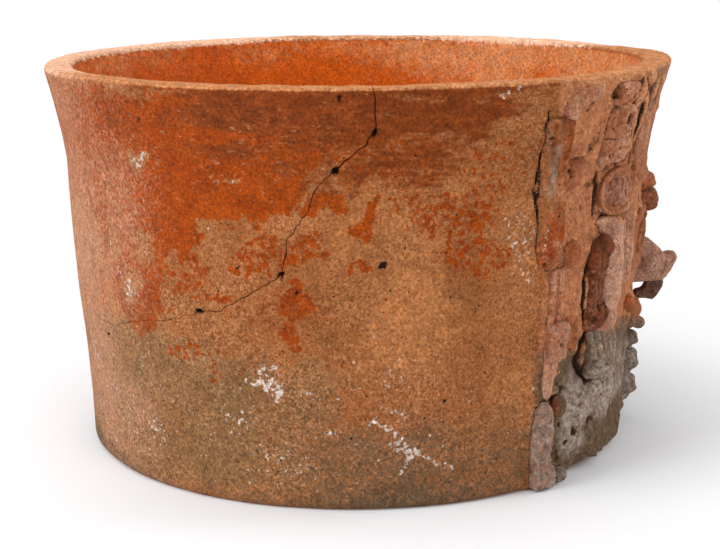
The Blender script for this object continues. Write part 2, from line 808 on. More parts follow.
@dataclass
class WallWear:
    """Where the slip survives, and where soil, lime and ash lie on the wall."""

    form: DrumForm
    slip_edge: Path = (
        (-180, 96), (-160, 118), (-140, 104), (-120, 126), (-100, 100), (-86, 112), (-75, 116), (-66, 108),
        (-60, 94), (-54, 88), (-46, 84), (-38, 82), (-34, 92), (-30, 114), (-26, 122), (-18, 124),
        (-13, 126), (-9, 136), (-6, 148), (-3, 162), (2, 175), (30, 185), (148, 185), (153, 120),
        (165, 104), (180, 96),
    )
    slip_patches: Rows = (
        (-11, 93, 4, 12, 0.62), (-12, 78, 3, 6, 0.6), (-7, 118, 4, 5, 0.55), (1, 108, 3, 4, 0.5),
        (-16, 112, 9, 13, 0.52), (-30, 98, 6, 12, 0.5), (-44, 84, 9, 16, 0.56), (-56, 92, 4, 20, 0.6),
        (-33, 66, 6, 5, 0.5), (-24, 62, 6, 4, 0.4), (-5, 137, 4.5, 6, 0.75), (2, 129, 3, 6, 0.7),
        (16, 130, 12, 13, 0.52), (20, 112, 9, 12, 0.5), (6, 154, 14, 13, 0.5), (24, 150, 9, 18, 0.42),
        (-25, 94, 3, 4, 0.7), (-28, 68, 4, 6, 0.35), (-5, 66, 5, 5, 0.35), (6, 95, 4, 5, 0.3),
        (36, 110, 2.2, 22, 0.4), (-70, 90, 6, 10, 0.4),
    )
    smoked_patches: Rows = (
        (8, 160, 16, 24, 0.55), (-4, 150, 8, 14, 0.5), (20, 134, 9, 14, 0.3), (-16, 134, 6, 14, 0.25),
        (12, 138, 5, 9, 0.35), (-10, 20, 16, 14, 0.22), (-20, 68, 9, 12, 0.3), (-30, 72, 8, 8, 0.25),
        (150, 150, 20, 20, 0.4), (-14, 90, 14, 14, 0.42), (26, 60, 12, 26, 0.16), (-4, 40, 26, 26, 0.3),
        (-8, 80, 14, 18, 0.3), (-22, 80, 9, 8, 0.3), (-48, 62, 14, 9, 0.3), (-44, 82, 9, 13, 0.42),
        (-12, 118, 6, 9, 0.38), (-30, 76, 8, 8, 0.3),
    )
    bald_patches: Rows = (
        (-41, 151, 3, 6.5), (-46, 91, 2.8, 8), (-57, 110, 3, 14, 0.8), (-62, 98, 2.2, 12, 0.8),
        (-53, 94, 1.8, 9, 0.7), (-50, 113, 2.2, 12, 0.8), (-41, 111, 2.2, 10, 0.8), (-37, 96, 1.6, 9, 0.7),
        (-22, 146, 3, 2.5, 0.7), (-34, 107, 2.5, 6, 0.6), (-64, 122, 6, 8, 0.6), (-27, 124, 3, 5, 0.7),
        (-110, 140, 9, 14, 0.7), (-135, 160, 7, 10, 0.7), (168, 135, 8, 12, 0.7),
    )
    stains: Rows = (
        (-44, 60, 26, 17, 0.95), (-15, 48, 14, 14, 0.35), (-44, 26, 30, 30, 0.5), (-12, 22, 22, 20, 0.4),
        (-16, 56, 16, 18, 0.36), (-62, 52, 14, 20, 0.6), (-66, 34, 18, 34, 0.7), (-118, 40, 34, 26, 0.6),
        (-150, 70, 15, 16, 0.4), (172, 52, 20, 34, 0.6), (-14, 86, 16, 14, 0.25), (-6, 62, 12, 9, 0.32),
    )
    lime_patches: Rows = (
        (-41, 151, 2.6, 5.5, 0.62), (-46, 91, 2.5, 7, 0.62), (-43, 27, 2.5, 4, 0.62),
        (-16, 56, 3.4, 6, 0.6), (-15, 65, 2, 4, 0.55), (-24, 37, 2, 3.5, 0.5), (29, 118, 4, 14, 0.42),
        (31, 104, 2, 6, 0.4), (-58, 35, 6, 6, 0.42), (-52, 30, 8, 8, 0.3), (-8, 19, 2, 2.5, 0.5),
        (-6, 36, 1.2, 1.5, 0.7), (24, 182, 3, 2.5, 0.6), (6, 34, 16, 14, 0.27), (-6, 52, 14, 6, 0.27),
        (-57, 108, 4, 9, 0.35), (-41, 113, 3, 6, 0.35), (-22, 146, 2, 1.5, 0.55), (-26.5, 122, 1.6, 3, 0.5),
        (-121, 86, 4, 7, 0.45), (-148, 34, 9, 4, 0.4), (-96, 66, 3, 11, 0.4), (171, 72, 3, 8, 0.45),
    )
    lime_strokes: Rows = (
        (((2, 41), (5, 39), (8, 34), (10, 27), (14, 21), (18, 18.5)), 1.5, 0.78),
        (((4, 47), (8, 45), (9, 40)), 1.1, 0.6), (((8, 34), (6, 30), (9, 26)), 1.3, 0.75),
        (((10, 27), (9, 21), (8, 17.5)), 1.1, 0.7), (((4, 24), (9, 24.5), (13, 24)), 0.9, 0.6),
        (((-21, 57), (-17, 57), (-14, 54), (-15, 49)), 1.3, 0.75), (((-18, 62), (-14.5, 66)), 1.1, 0.7),
        (((-24, 33), (-22, 40), (-19, 41)), 0.9, 0.6), (((-52, 112), (-49, 100), (-47, 92)), 1.6, 0.5),
        (((-62, 60), (-58, 44)), 1.4, 0.35), (((-10, 55), (-6, 51), (-2, 53)), 0.9, 0.5),
        (((27, 128), (29, 112), (32, 100)), 1.6, 0.45),
    )
    pits: Rows = (
        (4.5, 110, 2.6, 2.0, 1.6), (-3.3, 150.5, 1.8, 2.2, 3.0), (3.0, 166.5, 1.5, 2.2, 2.6),
        (-12.9, 106, 1.7, 1.5, 2.6), (-29.3, 87, 2.6, 1.4, 2.6), (-2.5, 181, 1.5, 1.5, 1.5),
        (-10.4, 98.5, 1.3, 1.4, 1.6), (-58, 72, 1.6, 1.3, 1.4), (-57, 65, 1.2, 1.0, 1.2),
        (-38.5, 169, 1.1, 1.2, 1.0), (16, 49, 1.2, 1.2, 1.2), (-21, 108.5, 1.2, 0.9, 1.0),
    )
    shades: Rows = (
        (58, 173, 4.5, 11, 0.6), (61, 150, 1.8, 16, 0.65), (66, 174, 8, 9, 0.3), (46, 152, 2.0, 8, 0.3),
        (50, 178, 2.5, 5, 0.5), (58, 156, 3, 4, 0.4), (53.5, 156.6, 4.5, 1.8, 0.6),
        (51.5, 143.6, 4.5, 1.8, 0.6), (39.6, 182.4, 2.6, 1.6, 0.6), (48.2, 131, 2.6, 12, 0.35),
        (50, 47, 4, 4, 0.7), (46.5, 60, 1.6, 10, 0.5), (51, 22, 5, 6, 0.5), (60, 50, 2, 12, 0.4),
        (44, 12, 3, 10, 0.4), (48.2, 57, 2.0, 11, 0.8), (63, 170, 4, 12, 0.4),
    )
    gouge: tuple[Path, float] = (((7, 139), (5.5, 118), (6.5, 98), (4.5, 76)), 3.4)
    cracks: Rows = (
        (((33.4, 173), (32.8, 166), (33.2, 158), (32.6, 150), (32.2, 141)), 0.55, 0.85),
        (((32.0, 138), (32.6, 129), (33.2, 121), (33.0, 112), (33.6, 105)), 0.7, 0.9),
        (((33.6, 105), (36.0, 103), (38.2, 102)), 0.75, 1.0),
        (
            (
                (50.8, 108.8), (49.0, 107.6), (47.0, 103), (46.0, 94), (45.8, 84), (46.6, 76), (48.2, 69.5),
                (50.5, 68),
            ),
            0.75, 1.0,
        ),
        (((48.2, 69), (46.8, 62), (46.6, 54), (48.2, 48), (51.0, 44.4), (55.0, 43.6)), 1.5, 0.85),
        (((61.0, 168), (61.2, 158), (61.4, 150), (61.5, 142)), 1.1, 1.0),
    )
    cavities: Rows = (
        (47.9, 136, 1.5, 7.5, 2.4), (47.6, 128.5, 1.8, 7.5, 2.6), (49.4, 176, 2.6, 5.4, 3.0),
        (58.2, 128.4, 1.6, 2.2, 1.8), (43.0, 27, 1.4, 1.6, 1.4), (55.0, 12, 2.2, 1.6, 1.6),
        (50.0, 44, 1.2, 1.4, 1.6), (60.0, 40, 1.6, 1.4, 1.6), (58.0, 16, 1.8, 1.4, 1.6),
        (56.6, 168, 2.6, 7.5, 2.2), (47.6, 21, 2.8, 3.4, 2.6), (45.3, 17, 2.2, 1.8, 1.8),
        (46.8, 36, 1.2, 1.2, 1.2), (42.5, 44, 2.4, 3.0, 1.4), (40.2, 39.6, 2.0, 2.6, 1.8),
        (39.8, 170, 1.8, 2.6, 1.6), (53.0, 24, 2.5, 1.8, 1.2), (57.0, 33, 3.0, 1.8, 1.4),
    )
    welts: Rows = (
        (58.3, 174, 3.6, 7.5, 2.4), (61.5, 180, 4.5, 4.0, 2.2), (56.2, 183, 3.0, 2.4, 1.4),
        (61.6, 169, 2.4, 6.0, 1.8), (65, 174, 3.0, 7.0, 2.0), (69, 178, 3.6, 4.0, 1.6),
        (50.5, 38, 15, 3.2, 1.8), (57, 43, 12, 3.4, 2.0), (43, 28, 4, 6, 0.7), (52, 14, 13, 5, 1.8),
        (59, 24, 9, 6, 2.2), (44, 52, 4, 7, 1.4), (49, 29, 6, 3, 1.4), (61, 154, 4, 11, 1.2),
        (57.5, 115.5, 3.2, 2.8, 2.0), (42.5, 120, 3.5, 9, 0.9), (42, 158, 6, 6, 0.9), (64, 32, 7, 4, 2.0),
        (54, 5, 6, 3.5, 1.2),
    )
    bright: Rows = ((9, 80, 9, 24, 0.5),)

    def strongest(self, rows: Rows, turn: Points, z: Points) -> Points:
        """The cover of the strongest of some patches at each place."""
        return np.maximum.reduce([Patch(*row).cover(turn, z) for row in rows])

    def drawn(self, rows: Rows, turn: Points, z: Points) -> Points:
        """The cover of the strongest of some strokes at each place."""
        return np.maximum.reduce([Stroke(*row).cover(turn, z, self.form) for row in rows])

    def holes(self, rows: Rows, turn: Points, z: Points, edge: float, core: float) -> list[Points]:
        """The cover of each of some pits, 0 beyond the edge and 1 within the core."""
        return [Pit(*row).cover(turn, z, self.form, edge, core) for row in rows]

    def slipped(self, g: Ground) -> dict[str, Points]:
        """The slip that is left, and where smoke darkened it or wear let it fade."""
        turn, z, warp, west = g.turn, g.z, g.warp, g.west
        streaks = noise(g.points * (0.35, 0.35, 1.6), 9, 33)
        low, high = zip(*self.slip_edge)
        edge = np.interp(turn + noise(g.points, 16, 57) * 6, low, high)
        slip = ramp(g.ragged[1], edge - 8, edge + 12) * ramp(z + warp * 2, 196, 160)
        slip = slip * (0.86 + 0.1 * g.cloud - 0.08 * ramp(turn, -30, -60))
        slip = slip + 0.2 * ramp(z, 120, 172) * ramp(g.from_mask, 56, 62)
        slip += 0.05 * (g.cloud > 0.1) + 0.22 * streaks * ramp(z, 90, 130) * (slip < 0.6)
        slip = np.maximum(slip, self.strongest(self.slip_patches, *g.ragged))
        for row in self.bald_patches:
            slip *= 1 - Patch(*row).cover(*g.ragged)
        smoked = (0.1 + 0.75 * ramp(z + warp * 2, 128, 178)) * (0.95 + 0.3 * g.cloud + 0.8 * streaks)
        smoked *= (1 - 0.6 * ramp(turn, -18, -45)) * ramp(z, 100, 130) * ramp(z, 186, 183)
        smoked *= 1 - 0.45 * ramp(turn, 19, 29) * g.east
        smoked = np.maximum(smoked, self.strongest(self.smoked_patches, *g.ragged))
        rear = 1 - ramp(np.abs(turn + 10), 100, 70)
        faded = 0.04 + 0.32 * ramp(turn, -22, -46) * ramp(turn, -130, -95) + 0.16 * noise(g.points, 34, 13)
        faded += 0.3 * west * (0.5 + 0.5 * ramp(z, 60, 100)) * (1 - 0.5 * ramp(z, 135, 165)) + 0.08 * rear
        wall = (1 - g.panel) * g.outside
        return {
            "slip": slip * (1 - 0.85 * g.panel) * g.outside,
            "smoked": smoked * wall,
            "faded": faded * wall,
        }

    def weathered(self, g: Ground) -> dict[str, Points]:
        """The body's warmth, its stains, the sand that shows in it, and the lime."""
        turn, z, warp, west = g.turn, g.z, g.warp, g.west
        level = g.ragged[1]
        warm = 0.34 + self.strongest(self.bright, *g.ragged) + 0.4 * noise(g.points, 40, 23)
        warm += 0.12 * ramp(turn, -10, 15) * g.east
        stain = sum(Patch(*row).cover(*g.ragged) for row in self.stains)
        stain = stain * (0.85 + 0.6 * noise(g.points, 20, 113)) + 0.25 * ramp(level, 66, 20)
        gravel = (0.2 + 0.2 * west) * ramp(z + warp * 1.5, 20, 1) * (1.35 - 0.8 * ramp(turn, 0, 25))
        gravel += 0.3 * ramp(level, 66, 15) * ramp(turn, -16, 4) * g.east
        gravel += 0.12 * ramp(level, 52, 36) * ramp(level, 8, 20) * ramp(np.abs(turn - 4), 26, 12)
        gravel += (0.12 + 0.1 * west) * ramp(level, 110, 60) * (1 + noise(g.points, 22, 47))
        spread = g.from_mask + warp
        between = ramp(spread, 32, 26) * ramp(spread, 13, 21) * ramp(z, 146, 166)
        soiled = g.panel * (0.85 * ramp(z + warp * 3, 74, 52) + 0.5 * between)
        crust = self.strongest(self.lime_patches, *g.ragged) * (0.95 + 0.35 * noise(g.points, 7, 117))
        crust = np.maximum(crust, self.drawn(self.lime_strokes, turn + g.fine * 0.5, z + g.fine * 1.6))
        dust = (0.1 + 0.06 * ramp(z, 80, 45) + 0.22 * noise(g.points, 24, 77)) * ramp(z, 130, 80)
        return {
            "warm": warm,
            "scratched": (0.5 + 0.5 * noise(g.points, 26, 53)) * (1 - g.panel) * 0.85,
            "stain": stain * (1 - g.panel),
            "gravel": (gravel * (1 - g.panel) + soiled) * g.outside,
            "lime": np.maximum(0.76 * crust, dust) * g.outside,
        }

    def under_mask(self, g: Ground, hollow: Points) -> dict[str, Points]:
        """The bare panel behind the mask, grey near the ground, with soil in its hollows and every cavity.

        Args:
            g: The places.
            hollow: How far each lies below the smoothed surface, in millimetres.

        Returns:
            The covers of its layers.
        """
        z, warp = g.z, g.warp
        ash = ramp(z + warp * (3 + 4 * ramp(g.turn, 58, 70)), 66, 40) * ramp(g.from_mask + warp, 52.5, 46)
        grey = 0.78 + 0.5 * noise(g.points, 15, 59) - 0.45 * ramp(z, 32, 8) - 0.3 * ramp(g.from_mask, 30, 18)
        dusk = self.strongest(self.shades, g.turn + warp * 0.5, g.ragged[1])
        dusk = np.maximum.reduce([dusk, *self.holes(self.cavities, g.ragged[0], z, 1.2, 0.6)])
        ridges = -hollow * 1.2 + 0.15 * lattice(g.points, 14, 8)
        return {
            "bare": g.panel * g.outside,
            "ash": ash * grey * g.outside,
            "rubbed": g.panel * g.outside * (1 - ash) * ridges,
            "hollow": g.outside * (g.panel * hollow * 1.3 + 0.8 * dusk) * (1 - 0.45 * ash),
        }

    def used(self, g: Ground) -> dict[str, Points]:
        """The burnished inside, and the wear of the rim."""
        z, y = g.z, g.points[:, 1]
        worn = 0.12 + 0.3 * noise(g.points, 28, 55) + 0.35 * ramp(z, 160, 181) + 0.4 * ramp(y, 20, -110)
        far_rim = ramp(g.points[:, 0], 10, 110) * (0.45 + 0.55 * ramp(np.abs(y), 30, 90))
        return {
            "inside": g.inside,
            "scuffed": g.inside * worn,
            "lip": ramp(z, 182.6, 184.4) * (0.75 + 0.3 * g.cloud),
            "lip_worn": ramp(z, 180, 184) * (far_rim + 0.65 * g.west),
        }

    def paint(self, mesh: Mesh, points: Points, seams: Points, crack: Break) -> None:
        """Store what lies on each place of the wall.

        Args:
            mesh: The finished wall or sherd, in metres.
            points: Its vertices in millimetres.
            seams: How close each vertex is to the edge of an applied piece, 0 to 1.
            crack: The break, for the dirt along it.
        """
        g = Ground(points, self.form)
        hollow = hollowness(mesh, read_points(mesh) / MM, 6)
        dirt = 0.9 * np.maximum.reduce(self.holes(self.pits, g.turn, g.z, 1.05, 0.7))
        dirt = np.maximum(dirt, self.drawn(self.cracks, g.turn + g.warp * 0.1, g.z))
        dirt = np.maximum(dirt, ramp(crack.distance(g.turn, g.z), 0.5, 0.05) * 0.4)
        kept = {"dirt": np.maximum(dirt, seams * 0.7) * g.outside}
        kept |= self.slipped(g) | self.weathered(g) | self.under_mask(g, hollow) | self.used(g)
        for name, values in kept.items():
            store(mesh, name, values)

    def sink(self, points: Points) -> Points:
        """How deep the wall is sunk at each place, in millimetres; a welt counts as less than 0."""
        turn, z = self.form.turn(points), points[:, 2]
        deep = self.drawn(self.cracks, turn, z) * 1.8
        for row in (*self.pits, *self.cavities):
            deep = np.maximum(deep, Pit(*row).cover(turn, z, self.form, 1.15, 0.3) * row[-1])
        for row in self.welts:
            deep -= Pit(*row).cover(turn, z, self.form, 1.3, 0.2) * row[-1]
        rough = 0.5 + 0.5 * noise(points, 7, 91)
        deep += self.drawn([self.gouge], turn, z) * rough * 0.7
        return deep * ramp(self.form.out(points), -5.0, -1.0)


@dataclass
class Drum:
    """Wall with its flared rim, the sherd set back into it, and the floor slab."""

    form: DrumForm
    wear: WallWear
    crack: Break
    outer_step: float = 1.6
    inner_step: float = 5.0
    sectors: tuple[tuple[float, int], ...] = ((100.0, 164), (130.0, 320), (130.0, 80))
    first_turn: float = -75.0
    part_steps: int = 30
    disc_rings: int = 40
    disc_sides: int = 180
    slab_gap: float = 0.3
    smear: float = 1.8
    smear_reach: float = 3.0
    seam_reach: float = 1.2

    def profile(self) -> list[tuple[float, float]]:
        """Closed section of the wall as radius and height, from the slab round the outside."""
        f = self.form
        foot_in = f.base_radius - f.foot_round - f.foot_ring
        lip_start, lip_end = f.height - f.lip_outer_round, f.height - f.lip_inner_round
        lip_in = f.rim_radius - f.lip_thickness
        lean = f.height - f.lip_lean
        inner, corner = (float(f.radius(z)) - f.wall for z in (lean, f.floor))
        points = [(foot_in, 0.0), (f.base_radius - f.foot_round, 0.0)]
        for turn in np.radians((75, 60, 45, 30, 15, 0)):
            z = f.foot_round * (1 - math.sin(turn))
            points.append((float(f.radius(z)) - f.foot_round * (1 - math.cos(turn)), z))
        for z in np.arange(f.foot_round + self.outer_step, lip_start, self.outer_step):
            points.append((float(f.radius(z)), float(z)))
        for turn in np.radians((0, 18, 36, 54, 72, 90)):
            radius = float(f.radius(lip_start)) - f.lip_outer_round * (1 - math.cos(turn))
            points.append((radius, lip_start + f.lip_outer_round * math.sin(turn)))
        points.append(((f.rim_radius - f.lip_outer_round + lip_in + f.lip_inner_round) / 2, f.height))
        for turn in np.radians((90, 60, 30, 0)):
            radius = lip_in + f.lip_inner_round * (1 - math.cos(turn))
            points.append((radius, f.height - f.lip_inner_round * (1 - math.sin(turn))))
        for share in np.linspace(0.12, 1, 9):
            points.append((lip_in + (inner - lip_in) * share, lip_end + (lean - lip_end) * float(share)))
        for z in np.arange(lean - self.inner_step, f.floor + f.cove + 2, -self.inner_step):
            points.append((float(f.radius(z)) - f.wall, float(z)))
        for turn in np.radians((0, 30, 60, 90)):
            points.append((corner - f.cove * (1 - math.cos(turn)), f.floor + f.cove * (1 - math.sin(turn))))
        points.append((foot_in - f.floor_bevel, f.floor))
        return points

    def spun(self, section: Path, closed: bool, turn: float, angle: float, steps: int) -> bmesh.types.BMesh:
        """Turn a section round the axis.

        Args:
            section: Its points as radius and height.
            closed: Whether its last point is joined to its first.
            turn: Where it starts, in degrees round the drum.
            angle: How far it is turned, in degrees.
            steps: Number of steps.

        Returns:
            An open band, or a whole round body.
        """
        shape = bmesh.new()
        begin = Matrix.Rotation(math.radians(180 + turn), 4, "Z")
        row = [shape.verts.new(begin @ Vector((r, 0, z))) for r, z in section]
        pairs = [*([(row[-1], row[0])] if closed else []), *itertools.pairwise(row)]
        bmesh.ops.spin(
            shape, geom=[*row, *(shape.edges.new(pair) for pair in pairs)], cent=(0, 0, 0), axis=(0, 0, 1),
            dvec=(0, 0, 0), angle=math.radians(angle), steps=steps, use_merge=angle == 360,
            use_duplicate=False,
        )
        return shape

    def whole_wall(self) -> Mesh:
        """Turn the wall in parts, which is quicker, closer on the seen side and under the mask."""
        shape = bmesh.new()
        section = self.profile()
        turned = self.first_turn
        for degrees, steps in self.sectors:
            for part in range(math.ceil(steps / self.part_steps)):
                part_steps = min(self.part_steps, steps - part * self.part_steps)
                angle = degrees * part_steps / steps
                shape.from_mesh(mesh_from(self.spun(section, True, turned, angle, part_steps), "wall_part"))
                turned += angle
        merge_doubles(shape)
        mesh = mesh_from(shape, "whole_wall")
        points = read_points(mesh)
        z, turn, radial = points[:, 2], self.form.turn(points), outward(points)
        waver = 0.7 * noise(points, 75, 11) + 0.22 * noise(points, 13, 17)
        lift = 0.6 * noise(points * (1, 1, 0), 50, 19) * ramp(z, 165, 185)
        lift += 0.25 * lattice(points, 6, 29) * ramp(z, 180, 184)
        pulled = np.exp(-(((turn - 84) / 24) ** 2))
        body = -0.9 * pulled * ramp(z, 100, 130) * ramp(z, 175, 150)
        points += radial * (waver + ramp(z, 150, 182) * (0.6 + 2.4 * pulled) + body)[:, None]
        points[:, 2] += lift + (1.2 * pulled - 0.35) * ramp(z, 172, 184)
        foot = ramp(z, 7, 0) * ramp(turn, 43, 47) * ramp(turn, 150, 140)
        points[:, 2] += foot * (2.6 + 2.0 * noise(points, 20, 37))
        write_points(mesh, points)
        return mesh

    def parted(self, whole: Mesh, block: Mesh, operation: str, name: str) -> Mesh:
        """Cut the wall along the break.

        Args:
            whole: The unbroken wall.
            block: The space above the break.
            operation: The boolean that leaves the wanted part.
            name: Name of the new mesh.

        Returns:
            The part that was kept.
        """
        wall, cutter = new_object("wall", whole.copy()), new_object("cutter", block)
        cut = wall.modifiers.new("break", "BOOLEAN")
        cut.object, cut.operation, cut.solver = cutter, operation, "MANIFOLD"
        mesh = applied(wall, name)
        bpy.data.objects.remove(cutter)
        return mesh

    def closeness(self, points: Points, relief: Points) -> tuple[Points, Points]:
        """Clay smeared from the applied pieces onto the wall round them.

        Args:
            points: Vertices of the wall in millimetres.
            relief: Places where applied pieces meet the wall, in millimetres.

        Returns:
            How much the wall is raised, and how dark the seam is, at each vertex.
        """
        raised, dark = np.zeros(len(points)), np.zeros(len(points))
        if not len(relief):
            return raised, dark
        tree = KDTree(len(relief))
        for i, place in enumerate(relief):
            tree.insert(place, i)
        tree.balance()
        near_mask = (np.abs(self.form.turn(points) - MASK_TURN) < 62) & (self.form.out(points) > -3)
        for i in np.flatnonzero(near_mask):
            away = tree.find(points[i])[2]
            if away < 3 * self.smear_reach:
                raised[i] = self.smear * math.exp(-((away / self.smear_reach) ** 2))
                dark[i] = math.exp(-((away / self.seam_reach) ** 2))
        dark *= ramp(noise(points, 9, 61), -0.5, 0.2)
        raised *= 0.55 + 0.8 * noise(points, 9, 67)
        return raised, dark

    def finish(self, mesh: Mesh, relief: Points, name: str, wardrobe: Wardrobe, node: str) -> None:
        """Chip, smear, paint and declare one part of the wall.

        Args:
            mesh: The part of the wall, in millimetres.
            relief: Places where applied pieces meet it.
            name: Name of the piece.
            wardrobe: Where its finish comes from.
            node: The node it takes the place of.
        """
        points = read_points(mesh)
        z, turn, out = points[:, 2].copy(), self.form.turn(points), self.form.out(points)
        raised, dark = self.closeness(points, relief)
        near = ramp(self.crack.distance(turn, z), 0.8, 0.0)
        chip = near * (0.5 + 0.5 * lattice(points, 3, 71)) * 0.35 * ramp(out, -4, -1)
        panel = ramp(np.abs(turn - MASK_TURN), 55, 50) * ramp(out, -3, -1) * ramp(z, 184, 178)
        lumps = panel * (1.0 * noise(points, 11, 73) + 0.5 * noise(points, 3.4, 79) - 0.2)
        lumps *= 1 + ramp(z, 75, 45)
        move = raised + lumps - chip - self.wear.sink(points)
        write_points(mesh, (points + outward(points) * move[:, None]) * MM)
        self.wear.paint(mesh, points, dark, self.crack)
        wardrobe.dress(name, mesh, Slot.WORN_SLIP, [node], 42)

    def floor_slab(self, wardrobe: Wardrobe) -> None:
        """The slab that closes the drum below."""
        f = self.form
        radius = f.base_radius - f.foot_round - f.foot_ring - self.slab_gap
        top = f.floor - self.slab_gap
        across = np.linspace(0, 1, self.disc_rings)
        outline = [(radius * s, 0.0) for s in across]
        outline += [((radius - f.floor_bevel) * s, top) for s in reversed(across)]
        shape = self.spun(outline, False, -180, 360, self.disc_sides)
        merge_doubles(shape)
        mesh = mesh_from(shape, "base_disc")
        points = read_points(mesh)
        points[:, 2] += ramp(points[:, 2], top - 1, top) * 0.5 * (noise(points, 45, 83) - 0.6)
        write_points(mesh, points * MM)
        reach = np.hypot(points[:, 0], points[:, 1])
        store(mesh, "soil", 0.30 + 0.4 * noise(points, 40, 87) + 0.35 * ramp(reach, 95, 124))
        store(mesh, "under", ramp(points[:, 2], 2.0, 0.5))
        wardrobe.dress("floor_slab", mesh, Slot.FLOOR_SLIP, ["base_disc"], 35)

    def build(self, wardrobe: Wardrobe, relief: Points) -> None:
        """Build the wall, the sherd and the slab."""
        whole = self.whole_wall()
        wall = self.parted(whole, self.crack.block(True), "DIFFERENCE", "vessel_wall_clay")
        sherd = self.parted(whole, self.crack.block(False), "INTERSECT", "rim_sherd_clay")
        self.finish(wall, relief, "slipped_wall", wardrobe, "vessel_wall")
        self.finish(sherd, np.empty((0, 3)), "slipped_rim_sherd", wardrobe, "rim_sherd")
        self.floor_slab(wardrobe)


# ---------------------------------------------------------------- applied relief


class Side(Enum):
    """Which side of the mask a piece is on; the left one is the photographed one."""

    LEFT = "left_"
    RIGHT = "right_"
    MIDDLE = ""


